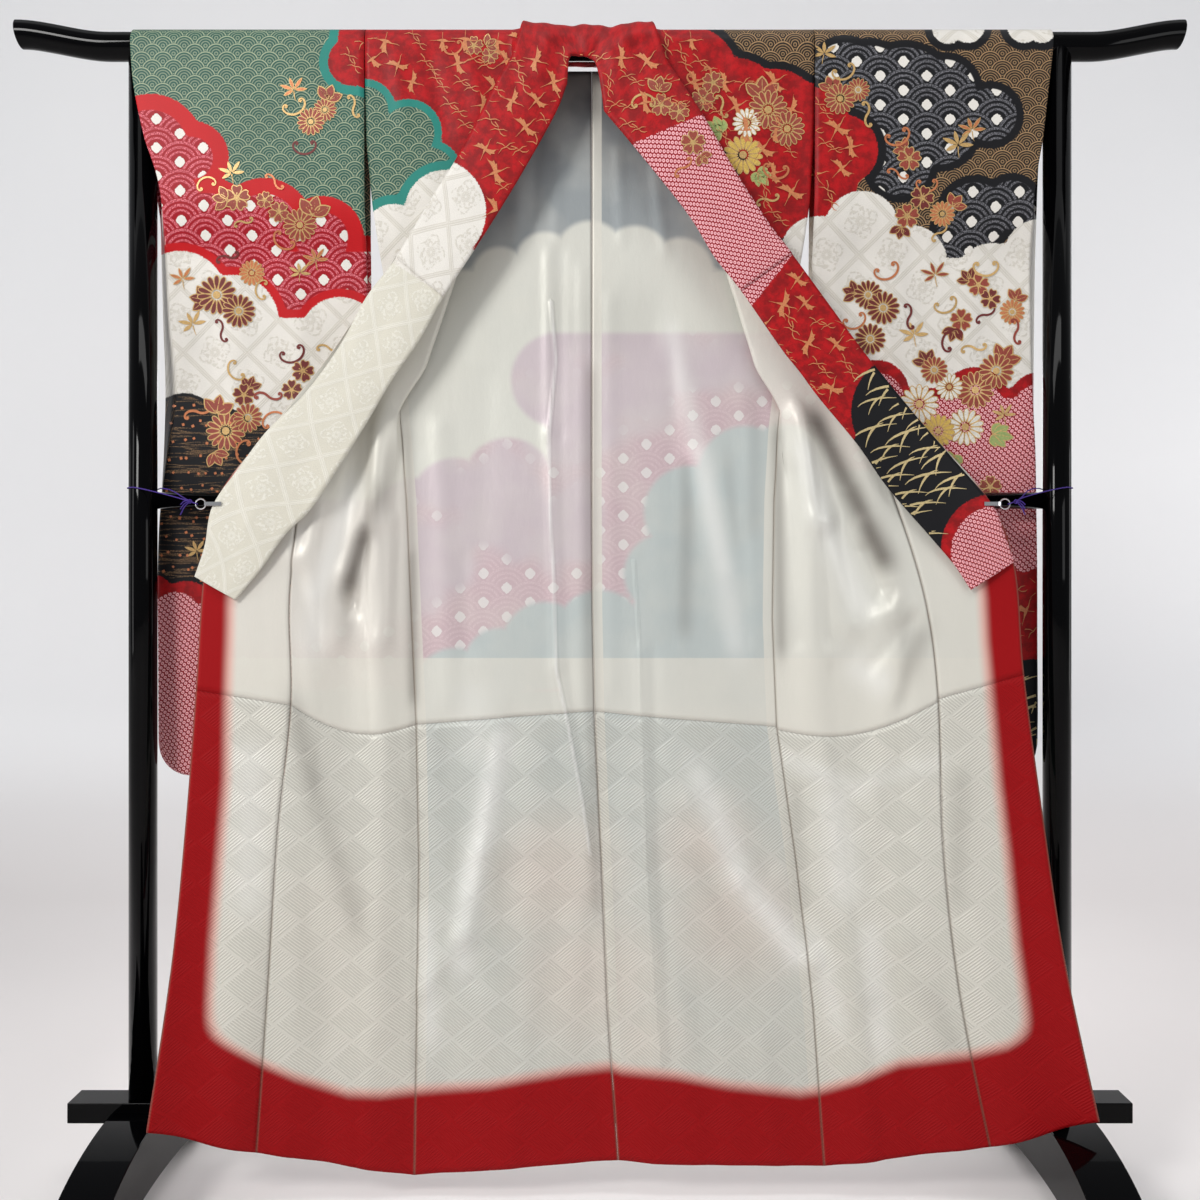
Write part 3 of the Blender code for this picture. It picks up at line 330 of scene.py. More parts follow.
# Folds of the hung cloth: from across down, to across down, width in pixels, height in millimetres
CREASES = (
    (440, 430, 448, 700, 12, 2.6), (486, 380, 480, 640, 14, -1.2), (520, 130, 516, 250, 8, 1.8),
    (538, 120, 533, 235, 7, -1.4), (654, 150, 664, 250, 7, 1.8), (618, 150, 622, 240, 6, 1.6),
    (560, 150, 556, 240, 6, 1.2), (672, 336, 701, 457, 12, 2.0), (701, 457, 735, 640, 14, 3.0),
    (732, 400, 737, 640, 14, -1.2), (672, 330, 672, 640, 9, -1.6), (463, 560, 466, 650, 9, -1.6),
    (752, 430, 756, 650, 9, 1.8), (496, 740, 480, 850, 10, 4.0), (480, 850, 464, 935, 11, 5.0),
    (464, 935, 420, 990, 11, 4.2), (516, 720, 504, 880, 13, -3.0), (504, 880, 480, 980, 14, -3.0),
    (440, 760, 432, 900, 12, -2.0), (685, 800, 740, 880, 12, 4.0), (740, 880, 812, 960, 13, 5.0),
    (812, 960, 860, 1000, 13, 3.0), (712, 800, 768, 868, 11, -2.6), (660, 850, 720, 950, 15, -2.4),
    (560, 900, 540, 1040, 16, -2.2), (610, 740, 640, 900, 12, 1.6), (640, 900, 690, 1040, 14, 1.8),
    (530, 1000, 510, 1160, 14, 2.0), (585, 1000, 590, 1160, 12, -1.6), (700, 1000, 712, 1160, 14, -1.8),
    (760, 1040, 775, 1160, 14, 2.0), (450, 1040, 440, 1160, 14, -1.8), (330, 800, 372, 960, 16, 2.6),
    (300, 860, 330, 1040, 18, -2.4), (870, 780, 905, 940, 16, 2.6), (905, 940, 935, 1040, 16, 2.2),
    (900, 760, 880, 880, 14, -2.2), (340, 1040, 350, 1160, 16, 2.2), (890, 1040, 905, 1150, 16, 2.0),
    (380, 1050, 378, 1160, 12, -1.8), (392, 425, 352, 575, 15, 9.0), (350, 575, 336, 640, 18, 5.0),
    (374, 490, 366, 535, 8, -3.5), (364, 544, 352, 606, 9, -13.0), (392, 520, 384, 640, 9, 3.0),
    (345, 636, 372, 646, 14, 5.0), (335, 440, 300, 560, 11, 4.0), (318, 500, 300, 545, 7, -4.0),
    (300, 575, 318, 650, 9, -2.6), (796, 420, 822, 520, 13, 9.0), (822, 520, 846, 622, 15, 9.0),
    (826, 430, 860, 510, 11, -3.5), (868, 550, 882, 590, 11, -11.0), (912, 613, 850, 625, 8, 2.4),
    (912, 618, 868, 668, 8, -3.0), (915, 622, 905, 700, 9, -3.2), (905, 600, 830, 655, 10, 2.6),
    (790, 470, 800, 640, 9, -2.6), (549, 252, 549, 434, 6, 2.2), (549, 434, 556, 669, 6, 2.4),
    (556, 669, 590, 860, 7, 2.4), (560, 252, 560, 434, 7, -1.6), (560, 434, 567, 669, 7, -1.2),
    (567, 669, 602, 860, 8, -1.8), (640, 650, 646, 860, 7, 2.2), (646, 860, 660, 1065, 8, 2.2),
    (653, 650, 659, 860, 7, -1.6), (659, 860, 673, 1065, 8, -1.6), (582, 270, 581, 700, 6, 1.4),
    (610, 300, 612, 690, 8, 1.6), (600, 730, 612, 1000, 8, 2.0), (590, 900, 604, 1150, 8, -1.6),
    (205, 120, 215, 420, 16, 2.0), (255, 60, 262, 330, 15, -2.0), (310, 60, 318, 300, 13, 1.8),
    (345, 60, 348, 230, 9, -2.0), (930, 60, 925, 300, 15, 2.0), (880, 60, 872, 330, 13, -1.8),
    (985, 90, 990, 370, 15, -2.0), (396, 60, 404, 130, 8, 2.0), (430, 60, 445, 130, 9, -2.2),
    (470, 60, 480, 110, 8, 2.0), (735, 60, 760, 130, 10, 2.2), (790, 70, 800, 200, 10, -2.0),
)
# Painted shade in the folds' hollows and painted highlights on their ridges: from across down, to across
# down, width in pixels, share; below 0 a painted highlight
PAINTED_FOLD_LINES = (
    (376, 500, 368, 524, 9, 0.60), (364, 535, 350, 580, 10, 0.92), (345, 440, 330, 478, 9, 0.25),
    (314, 505, 298, 535, 9, -0.30), (352, 492, 318, 590, 11, -0.75), (318, 590, 312, 640, 12, -0.5),
    (818, 425, 846, 480, 12, 0.90), (852, 492, 882, 555, 13, 0.95), (893, 590, 903, 640, 13, 0.22),
    (808, 455, 832, 540, 13, -0.75), (832, 540, 858, 600, 14, -0.7), (862, 670, 880, 682, 16, -0.6),
    (920, 640, 900, 690, 11, 0.40), (777, 440, 781, 640, 7, 0.50), (408, 440, 412, 560, 6, 0.40),
    (412, 560, 413, 690, 6, 0.60), (413, 700, 415, 1060, 5, 0.22), (590, 380, 590, 620, 7, 0.38),
    (590, 620, 596, 900, 7, 0.32), (672, 336, 701, 457, 10, -0.5), (701, 457, 723, 566, 11, -0.85),
    (723, 566, 735, 640, 12, -0.6), (687, 470, 684, 620, 10, 0.34), (728, 470, 732, 540, 8, 0.16),
    (752, 400, 753, 520, 10, 0.18), (500, 745, 484, 830, 13, -0.9), (484, 830, 468, 890, 13, -0.9),
    (468, 890, 462, 960, 14, -0.6), (440, 745, 452, 880, 12, 0.10), (505, 860, 492, 960, 13, 0.10),
    (410, 800, 412, 850, 9, 0.20), (700, 780, 745, 885, 14, -0.7), (745, 885, 795, 950, 14, -0.85),
    (700, 870, 740, 960, 14, 0.10), (835, 800, 845, 890, 18, -0.55), (795, 800, 800, 900, 10, 0.18),
    (250, 760, 250, 900, 20, -0.5), (296, 712, 318, 800, 12, 0.36), (318, 800, 355, 916, 12, 0.26),
    (425, 930, 430, 1030, 11, -0.5), (475, 700, 478, 750, 18, -0.3), (870, 940, 880, 1040, 14, -0.5),
    (930, 1000, 950, 1040, 14, 0.15), (350, 590, 346, 625, 11, 0.26), (560, 318, 640, 318, 40, 0.13),
    (800, 765, 850, 786, 10, -0.5), (850, 786, 930, 765, 10, -0.35), (815, 944, 837, 1017, 12, -0.45),
    (961, 787, 958, 888, 12, 0.20),
)
# Sharply pressed pleats, drawn in the lining's weave and with a painted highlight along the first: across at
# each height down
PLEATS = (
    ((300, 551), (360, 556), (434, 549), (514, 550), (584, 554), (669, 556), (715, 566), (800, 582),
     (860, 591)),
    ((560, 634), (650, 640), (715, 641), (860, 646), (960, 652), (1065, 661)),
)
# Motifs on the collar, shared by its cover: kind, across, down, reach, turn in degrees, fill
COLLAR_SPRAY = (
    ("leaves", 658, 92, 16, 10, "rust"), ("cherry", 661, 105, 12, 0, "rust"),
    ("cherry", 679, 112, 11, 25, "rust"), ("scroll", 643, 102, 12, 200, "gold"),
)
# Printed and stitched motifs by the cloth they lie on: kind, across, down, reach, turn in degrees, fill
MOTIFS = {
    "sleeve_right": (
        ("bamboo", 294, 90, 15, 0, "copper"), ("bamboo", 232, 173, 14, 0, "gold"),
        ("bamboo", 316, 260, 14, 0, "copper"), ("bamboo", 300, 273, 12, 10, "gold"),
        ("bamboo", 183, 279, 14, 0, "copper"), ("bamboo", 193, 324, 15, -8, "gold"),
        ("bamboo", 197, 551, 13, 0, "gold"), ("mum", 325, 110, 12, 10, "rust"),
        ("mum", 311, 122, 14, 0, "rust"), ("leaves", 327, 101, 17, 20, "rust"),
        ("mum", 300, 225, 17, 0, "rust"), ("leaves", 312, 216, 21, 15, "rust"),
        ("cherry", 265, 200, 9, 10, "rust"), ("cherry", 279, 212, 11, 40, "rust"),
        ("leaves", 228, 200, 16, -80, "rust"), ("cherry", 237, 198, 14, 0, "rust"),
        ("mum", 252, 273, 13, 0, "copper"), ("leaves", 206, 300, 17, -80, "dark"),
        ("mum", 217, 295, 20, 0, "dark"), ("mum", 239, 311, 17, 8, "dark"),
        ("leaves", 249, 389, 14, 20, "dark"), ("cherry", 244, 395, 12, 0, "dark"),
        ("cherry", 303, 371, 12, 15, "dark"), ("cherry", 292, 390, 11, 0, "dark"),
        ("mum", 248, 418, 15, 0, "rust"), ("mum", 226, 431, 20, 6, "rust"),
        ("leaves", 217, 414, 20, 10, "rust"),
        ("leaves", 214, 452, 16, 150, "rust"), ("scroll", 295, 107, 12, 0, "gold"),
        ("scroll", 354, 107, 12, 90, "gold"), ("scroll", 305, 147, 12, 20, "dark"),
        ("scroll", 228, 257, 12, 0, "dark"), ("scroll", 206, 184, 10, 180, "gold"),
        ("scroll", 244, 222, 10, 0, "gold"), ("scroll", 284, 241, 12, 60, "copper"),
        ("scroll", 222, 331, 12, 90, "dark"), ("scroll", 293, 354, 13, 0, "dark"),
        ("scroll", 329, 348, 12, 20, "gold"), ("scroll", 236, 371, 11, 80, "gold"),
        ("scroll", 268, 396, 14, 200, "rust"), ("scroll", 273, 420, 12, 180, "copper"),
        ("scroll", 198, 412, 14, 0, "copper"), ("scroll", 244, 452, 12, 120, "copper"),
        ("scroll", 275, 182, 11, 60, "copper"), ("scroll", 262, 290, 10, 120, "gold"),
    ),
    "sleeve_left": (
        ("bamboo", 824, 54, 14, 20, "gold"), ("bamboo", 972, 130, 15, 0, "copper"),
        ("bamboo", 958, 145, 17, 5, "gold"), ("bamboo", 935, 275, 16, 0, "rust"),
        ("bamboo", 914, 335, 16, 0, "gold"), ("bamboo", 1004, 415, 13, 0, "gold"),
        ("leaves", 832, 90, 15, -20, "rust"), ("mum", 858, 90, 12, 0, "rust"),
        ("mum", 840, 99, 16, 0, "rust"),
        ("mum", 942, 214, 13, 0, "copper"), ("leaves", 952, 207, 15, 40, "rust"),
        ("leaves", 856, 294, 15, -70, "dark"), ("mum", 868, 295, 15, 0, "dark"),
        ("mum", 870, 339, 16, 0, "dark"), ("mum", 883, 308, 17, 8, "dark"),
        ("leaves", 1015, 301, 14, 20, "rust"), ("mum", 1012, 312, 13, 0, "copper"),
        ("leaves", 927, 364, 16, -30, "dark"), ("mum", 934, 370, 14, 0, "rust"),
        ("leaves", 1002, 362, 20, 30, "rust"), ("mum", 996, 371, 18, 0, "rust"),
        ("mum", 975, 390, 19, 7, "rust"), ("mum", 949, 387, 14, 0, "white"),
        ("leaves", 905, 150, 13, -50, "rust"), ("cherry", 909, 159, 13, 0, "rust"),
        ("cherry", 922, 198, 13, 20, "dark"), ("leaves", 901, 226, 14, 190, "dark"),
        ("cherry", 907, 216, 13, 0, "rust"), ("leaves", 970, 281, 14, -40, "dark"),
        ("cherry", 978, 285, 12, 0, "rust"), ("cherry", 990, 299, 11, 20, "dark"),
        ("leaves", 955, 328, 15, 200, "dark"), ("cherry", 961, 320, 12, 0, "rust"),
        ("leaf_green", 992, 434, 22, 100, "green"), ("leaf_green", 954, 455, 19, 200, "green"),
        ("mum", 938, 431, 17, 0, "yellow"), ("mum", 919, 404, 20, 0, "white"),
        ("mum", 965, 427, 19, 5, "white"),
        ("scroll", 844, 72, 12, 0, "gold"), ("scroll", 867, 115, 13, 100, "gold"),
        ("scroll", 898, 137, 13, 0, "copper"), ("scroll", 898, 174, 11, 40, "copper"),
        ("scroll", 927, 185, 11, 20, "copper"), ("scroll", 939, 233, 11, 150, "gold"),
        ("scroll", 887, 271, 13, 0, "copper"), ("scroll", 909, 317, 13, 100, "dark"),
        ("scroll", 855, 321, 12, 0, "copper"), ("scroll", 985, 315, 12, 160, "dark"),
        ("scroll", 951, 340, 13, 150, "dark"), ("scroll", 1016, 332, 13, 100, "rust"),
        ("scroll", 986, 268, 13, 20, "gold"), ("scroll", 974, 348, 13, 10, "gold"),
        ("scroll", 946, 305, 12, 0, "gold"), ("cherry", 990, 487, 12, 0, "rust"),
    ),
    "body_right": (
        ("cherry", 474, 46, 10, 0, "rust"), ("cherry", 490, 56, 9, 20, "rust"),
        ("scroll", 454, 48, 10, 0, "copper"), ("leaves", 486, 46, 12, 60, "rust"),
    ),
    "body_left": (
        ("leaves", 762, 98, 22, 0, "rust"), ("mum", 768, 110, 20, 0, "rust"),
        ("mum", 787, 129, 18, 6, "rust"),
        ("leaf_green", 722, 133, 22, -60, "green"), ("leaf_green", 757, 172, 18, 140, "green"),
        ("mum", 743, 155, 20, 0, "yellow"), ("mum", 747, 123, 15, 0, "white"),
        ("cherry", 703, 100, 13, 0, "rust"), ("cherry", 713, 83, 12, 20, "rust"),
        ("scroll", 700, 76, 13, 0, "copper"), ("scroll", 722, 107, 12, 90, "gold"),
        ("scroll", 776, 171, 13, 30, "copper"), ("scroll", 768, 200, 12, 0, "gold"),
    ),
    "collar": COLLAR_SPRAY,
    "collar_cover": (
        *COLLAR_SPRAY, ("cherry", 693, 143, 13, 0, "rust"), ("leaves", 700, 155, 12, 140, "rust"),
        ("scroll", 683, 168, 12, 150, "copper"),
    ),
}
# Sprays on the back, seen from behind, laid on both body panels and both sleeves
BACK_SPRAYS = (
    ("sleeve_right", 262, 150), ("sleeve_right", 232, 330), ("sleeve_right", 240, 690),
    ("sleeve_left", 930, 140), ("sleeve_left", 960, 330), ("sleeve_left", 940, 620), ("body_right", 470, 120),
    ("body_right", 450, 330), ("body_right", 520, 430), ("body_right", 470, 620), ("body_right", 500, 860),
    ("body_right", 470, 1020), ("body_left", 700, 150), ("body_left", 740, 330), ("body_left", 660, 540),
    ("body_left", 720, 740), ("body_left", 690, 900), ("body_left", 760, 1060),
)
# Each cloth's object, thickness, what it rests on and its prints; and the meshes of the motifs, both filled
# while the script runs
SURFACES, TEMPLATES = {}, {}
# One pixel of the 1200 square on the cloth, in metres
PIXEL = 0.00144
# Pattern under all cloud fields of a piece; the gores' is red_cranes
BASES = {"sleeve_right": "teal_waves", "sleeve_left": "black_waves", "body_right": "red_cranes",
         "body_left": "black_waves", "collar": "red_cranes"}
# Clips: centre x z, and the sizes of the clip, its ring and its cord
CLIP = {"right": (-0.5530, 0.9925), "left": (0.5610, 0.9925)}
CLIP_Y, CLIP_ARM, RING_R, CORD_R, CORD_Z = -0.0526, 0.0060, 0.0072, 0.0008, 1.0190
# Where small motifs are scattered: left, top, right, bottom
SCATTER = {
    "sleeve_right": (150, 40, 376, 780), "sleeve_left": (812, 40, 1050, 780),
    "body_right": (360, 40, 560, 330), "body_left": (640, 40, 800, 330),
    "collar": (200, 60, 1050, 620), "collar_cover": (430, 60, 780, 330),
}
BACK_SCATTER = {"sleeve": (150, 60, 1060, 780), "body": (300, 60, 900, 1150), "gore": (200, 300, 1060, 1150)}
# Small motifs by their field: kind and share of the free turn
FIELD_MOTIFS = {"red_cranes": ("crane", 1.0), "black_grass": ("grass", 0.2), "black_haze": ("flake", 3.0)}
# Scatter of the front: field, steps across and down, reach, fill, way kept from the field's edge
FRONT_SCATTER = (("red_cranes", 27, 22, 13.0, "pale", 9), ("black_grass", 33, 15, 24.0, "wheat", 12),
                 ("black_haze", 10, 16, 1.7, "copper", 3))
# One spray for the back: kind, across, down, reach, turn, fill
SPRAY = (("leaves", -6, -18, 20, 10, "rust"), ("mum", -12, 0, 18, 0, "rust"),
         ("mum", 16, 10, 15, 8, "yellow"), ("cherry", 26, -14, 12, 0, "rust"),
         ("scroll", -30, 12, 12, 20, "gold"), ("scroll", 14, 30, 12, 180, "copper"),
         ("bamboo", -18, 34, 14, 0, "gold"))
# Lamps: name, place, aim, size, power, and a tint where it isn't white
LIGHTS = (
    ("key", (-2.2, -2.9, 2.7), (0, 0, 0.9), (0.9, 0.9), 74, (1.0, 0.99, 0.97)),
    ("fill_left", (-3.0, -1.0, 1.3), (0, 0, 0.9), (0.5, 2.4), 16),
    ("fill_right", (2.6, -2.8, 1.5), (0, 0, 0.9), (1.2, 1.2), 14),
    ("wall_wash", (0, 0.2, 4.0), (0, 2.16, 0.0), (5.0, 1.2), 9),
    ("wall_right", (3.4, 0.6, 1.0), (2.0, 2.2, 0.8), (0.6, 2.0), 19),
    ("wall_left", (-3.4, 0.6, 1.0), (-2.0, 2.2, 0.8), (0.6, 2.0), 5),
    ("floor_back", (0, 1.3, 1.3), (0, 0.1, 0.0), (1.6, 0.5), 14),
    ("floor_wash", (0, -1.7, 3.9), (0, -0.7, 0.0), (3.0, 0.6), 30),
)
WORLD_LIGHT = 0.30
# Slant of the rows of tied dots to the grain, in radians
DOT_SLANT = 0.72
# Width of plain colour beside a field's own edge and beside the next field's edge, in metres
PLAIN = {
    "teal_waves": (0.012, 0.014), "black_waves": (0.014, 0.012), "red_waves": (0.024, 0.013),
    "black_ties": (0.012, 0.013), "black_haze": (0.006, 0.006),
}
# Colours seen through the linings, and those of the printed and stitched motifs
TINTS = {"grey": (158, 164, 166), "cream": (220, 220, 211), "pink": (207, 195, 199), "teal": (194, 202, 200),
         "blush": (220, 206, 198)}
FILLS = {"gold": (226, 186, 122), "copper": (222, 138, 92), "rust": (158, 66, 50), "dark": (116, 34, 32),
         "white": (244, 240, 228), "yellow": (226, 190, 92), "green": (168, 186, 112), "pale": (214, 134, 84),
         "wheat": (226, 204, 150)}


def screen(r, g, b):
    """Colour for a shader from screen values 0 to 255."""
    return tuple(v / 12.92 if v <= 0.04045 else ((v + 0.055) / 1.055) ** 2.4
                 for v in (r / 255, g / 255, b / 255))


def length(name, what, default, **limits):
    return bpy.props.FloatProperty(name=name, description=what, default=default, unit="LENGTH", **limits)


def dye_property(name, what, tone):
    return bpy.props.FloatVectorProperty(name=name, description=what, default=screen(*tone), size=3,
                                         min=0.0, max=1.0, subtype="COLOR")


class FurisodeStand(bpy.types.PropertyGroup):
    """Sizes of the stand"""
    bar_radius: length("Bar radius", "Radius of the round top bar", BAR_R)
    post_radius: length("Post radius", "Radius of the two posts", POST_R)
    edge: length("Edge rounding", "Rounding of the rails' and feet's edges", 0.0012)


class FurisodeCloth(bpy.types.PropertyGroup):
    """Sizes of the cloth"""
    outer: length("Outer cloth", "Thickness of the patterned crepe", 0.0011)
    lining: length("Lining", "Thickness of the linings", 0.0010)
    collar: length("Collar", "Thickness of the folded collar", 0.0016)
    step: length("Mesh step", "Distance between rows of points down the panels", 0.009, min=0.004)


class FurisodeDyes(bpy.types.PropertyGroup):
    """Colours of the cloth and the stand"""
    red: dye_property("Red", "Ground of the crane fields and the borders", (196, 10, 20))
    deep_red: dye_property("Deep red", "Ground between tied dots and waves", (150, 4, 24))
    teal: dye_property("Teal", "Ground of the gold waves", (42, 98, 86))
    black: dye_property("Black", "Ground of the black fields", (13, 13, 18))
    white: dye_property("White", "Woven white fields", (236, 232, 224))
    pink: dye_property("Pink", "Tied dots and rings", (255, 190, 196))
    cream: dye_property("Cream", "Linings", (228, 225, 214))
    lacquer: dye_property("Lacquer", "The stand", (3, 3, 4))


class FurisodeSettings(bpy.types.PropertyGroup):
    """Everything that a user would change"""
    stand: bpy.props.PointerProperty(type=FurisodeStand, name="Stand", description="Sizes of the stand")
    cloth: bpy.props.PointerProperty(type=FurisodeCloth, name="Cloth", description="Sizes of the cloth")
    dyes: bpy.props.PointerProperty(type=FurisodeDyes, name="Dyes", description="Colours")


def settings():
    return bpy.context.scene.furisode


def dye(name, share=1.0):
    """Colour of a dye with its strength scaled, ready for a colour socket."""
    return (*(min(v * share, 1.0) for v in getattr(settings().dyes, name)), 1.0)


def colour(r, g, b):
    return (*screen(r, g, b), 1.0)


class Value:
    """Output of a shader node. Arithmetic with it adds Math nodes."""

    def __init__(self, graph, socket):
        self.graph, self.socket = graph, socket

    def __abs__(self):
        return self.graph.math("ABSOLUTE", self)


for word, operation in (("add", "ADD"), ("sub", "SUBTRACT"), ("mul", "MULTIPLY"), ("truediv", "DIVIDE"),
                        ("mod", "FLOORED_MODULO"), ("pow", "POWER")):
    setattr(Value, "__%s__" % word, lambda a, b, kind=operation: a.graph.math(kind, a, b))
    setattr(Value, "__r%s__" % word, lambda a, b, kind=operation: a.graph.math(kind, b, a))


class Graph:
    """Short way to add shader nodes to one tree and join them."""

    def __init__(self, tree):
        self.tree, self.count = tree, 0

    def join(self, value, socket):
        if isinstance(value, Value):
            self.tree.links.new(value.socket, socket)
        else:
            socket.default_value = value

    def add(self, kind, given=(), result=0, **values):
        """Adds a node, joins or sets its inputs by number or name, and hands back one output."""
        node = self.tree.nodes.new("ShaderNode" + kind)
        node.location = (self.count % 14 * 170, -(self.count // 14) * 230)
        self.count += 1
        for key, value in values.items():
            setattr(node, key, value)
        for key, value in given.items() if isinstance(given, dict) else enumerate(given):
            self.join(value, node.inputs[key])
        return Value(self, node.outputs[result])

    def math(self, operation, *values):
        return self.add("Math", values, operation=operation)

    def fract(self, value):
        return self.math("FRACT", value)

    def larger(self, a, b):
        return self.math("MAXIMUM", a, b)

    def length(self, a, b):
        return self.math("SQRT", a * a + b * b)

    def mix(self, share, a, b, blend="MIX"):
        return self.add("Mix", {0: share, 6: a, 7: b}, 2, data_type="RGBA", blend_type=blend,
                        clamp_factor=True)

    def ramp(self, value, low, high, first=0.0, last=1.0):
        return self.add("MapRange", (value, low, high, first, last), interpolation_type="SMOOTHSTEP")

    def split(self, vector):
        node = self.add("SeparateXYZ", (vector,)).socket.node
        return [Value(self, socket) for socket in node.outputs]

    def scale(self, vector, factors):
        return self.add("VectorMath", (vector, factors), operation="MULTIPLY")

    def attribute(self, name, result="Fac"):
        return self.add("Attribute", result=result, attribute_name=name)

    def own_place(self):
        return self.add("TexCoord", result="Object")

    def noise(self, vector, scale, detail=2.0, rough=0.5):
        return self.add("TexNoise", {"Vector": vector, "Scale": scale, "Detail": detail, "Roughness": rough})

    def bump(self, height, strength, distance):
        return self.add("Bump", {"Height": height, "Strength": strength, "Distance": distance})

    def use(self, name, **values):
        """Places a node group and hands back its outputs by name."""
        node = self.add("Group", values, node_tree=bpy.data.node_groups[name]).socket.node
        return {socket.name: Value(self, socket) for socket in node.outputs}

    def shaded(self, tone, grain, *ramp):
        """The tone made lighter and darker by the grain."""
        shade = self.ramp(grain["Shade"], *ramp)
        return self.mix(1.0, tone, self.add("CombineXYZ", (shade,) * 3), "MULTIPLY")

    def finish(self, **values):
        """Joins or sets the shader's own sockets."""
        shader = self.tree.nodes["Principled BSDF"]
        for key, value in values.items():
            self.join(value, shader.inputs[key.replace("_", " ")])


def material(name):
    mat = bpy.data.materials.new(name)
    mat.use_nodes = True
    return mat, Graph(mat.node_tree)


GROUPS = []


def shared(inputs, outputs, **numbers):
    """Marks a function that fills a node group of its own name, from sockets to sockets."""
    def keep(fill):
        GROUPS.append((fill, (*inputs.split(), *numbers), outputs.split(), numbers))
        return fill
    return keep


def socket_kind(label):
    kind = {"Place": "Vector", "Ground": "Color", "Line": "Color", "Light": "Color", "Diamond": "Color",
            "Colour": "Color"}.get(label, "Float")
    return "NodeSocket" + kind


def pattern_groups():
    """Builds the node groups that the cloth and the stand use."""
    for fill, inputs, outputs, numbers in GROUPS:
        tree = bpy.data.node_groups.new(fill.__name__, "ShaderNodeTree")
        for label in inputs:
            socket = tree.interface.new_socket(label, in_out="INPUT", socket_type=socket_kind(label))
            if label in numbers:
                socket.default_value = numbers[label]
        for label in outputs:
            tree.interface.new_socket(label, in_out="OUTPUT", socket_type=socket_kind(label))
        g = Graph(tree)
        start, end = tree.nodes.new("NodeGroupInput"), tree.nodes.new("NodeGroupOutput")
        for value, label in zip(fill(g, **{s.lower(): Value(g, start.outputs[s]) for s in inputs}), outputs):
            g.join(value, end.inputs[label])


@shared("Place", "Way Across Up", Radius=0.013, Row=0.7)
def waves(g, place, radius, row):
    """Overlapping waves: distance, across and up from the wave's own centre, in radii."""
    x, y, _ = g.split(place)
    x, y = x / radius, y / radius
    first = g.math("CEIL", (y - 1.0) / row)
    found = []
    for i in range(3):
        j = first + float(i)
        up = y - j * row
        shifted = x - j % 2.0
        across = shifted - g.math("ROUND", shifted * 0.5) * 2.0
        found.append((g.length(across, up), across, up))
    values = found[2]
    for nearer in (found[1], found[0]):
        inside = g.math("LESS_THAN", nearer[0], 1.0)
        values = [inside * a + (1.0 - inside) * b for a, b in zip(nearer, values)]
    return values


@shared("Place Ground Line", "Colour Height", Radius=0.013, Row=0.74, Lines=5.0, Inner=0.6)
def gold_waves(g, place, ground, line, radius, row, lines, inner):
    """Waves drawn in worn gold arcs, the outer one strongest."""
    way = g.use("waves", Place=place, Radius=radius, Row=row)["Way"]
    arc = g.ramp(abs(g.fract(way * lines) - 0.60), 0.30, 0.12) * g.ramp(way, 0.80, 0.84, inner, 1.0)
    arc = arc * (0.55 + g.ramp(g.noise(place, 260.0, 3.0, 0.6), 0.26, 0.52) * 0.45)
    return g.mix(arc, ground, line), arc * 0.12


@shared("Place Ground Line Diamond", "Colour Height")
def tied_waves(g, place, ground, line, diamond):
    """Waves of tied dots, with a ragged diamond in each."""
    wave = g.use("waves", Place=place, Radius=0.0335, Row=0.62)
    arc = g.ramp(abs(g.fract(wave["Way"] * 4.6 + 0.30) - 0.5), 0.33, 0.20) * g.ramp(wave["Way"], 0.42, 0.47)
    arc = arc * (0.15 + g.ramp(g.noise(place, 520.0, 2.0, 0.6), 0.44, 0.58) * 0.85)
    shape = (abs(wave["Across"]) / 0.235) ** 1.4 + (abs(wave["Up"] - 0.06) / 0.245) ** 1.4
    core = g.ramp(shape + (g.noise(place, 330.0) - 0.5) * 0.7, 1.06, 0.94)
    return g.mix(core, g.mix(arc, ground, line), diamond), arc * 0.5 + core * 0.7


@shared("Place Ground Light", "Colour Height", Pitch=0.0056)
def tied_dots(g, place, ground, light, pitch):
    """Close slanting rows of small tied rings, pale on the ground."""
    x, y, _ = g.split(place)
    cosine, sine = math.cos(DOT_SLANT), math.sin(DOT_SLANT)
    y, x = (x * sine + y * cosine) / (pitch * 1.16), (x * cosine - y * sine) / pitch
    x = x + g.math("FLOOR", y) % 2.0 * 0.5
    far = g.length((g.fract(x) - 0.5) * 1.10, (g.fract(y) - 0.5) * 1.10)
    far = far + (g.noise(place, 700.0, 1.0) - 0.5) * 0.16
    body = g.ramp(far, 0.50, 0.40)
    return g.mix(body * (1.0 - g.ramp(far, 0.20, 0.10) * 0.9), ground, light), body * 0.9


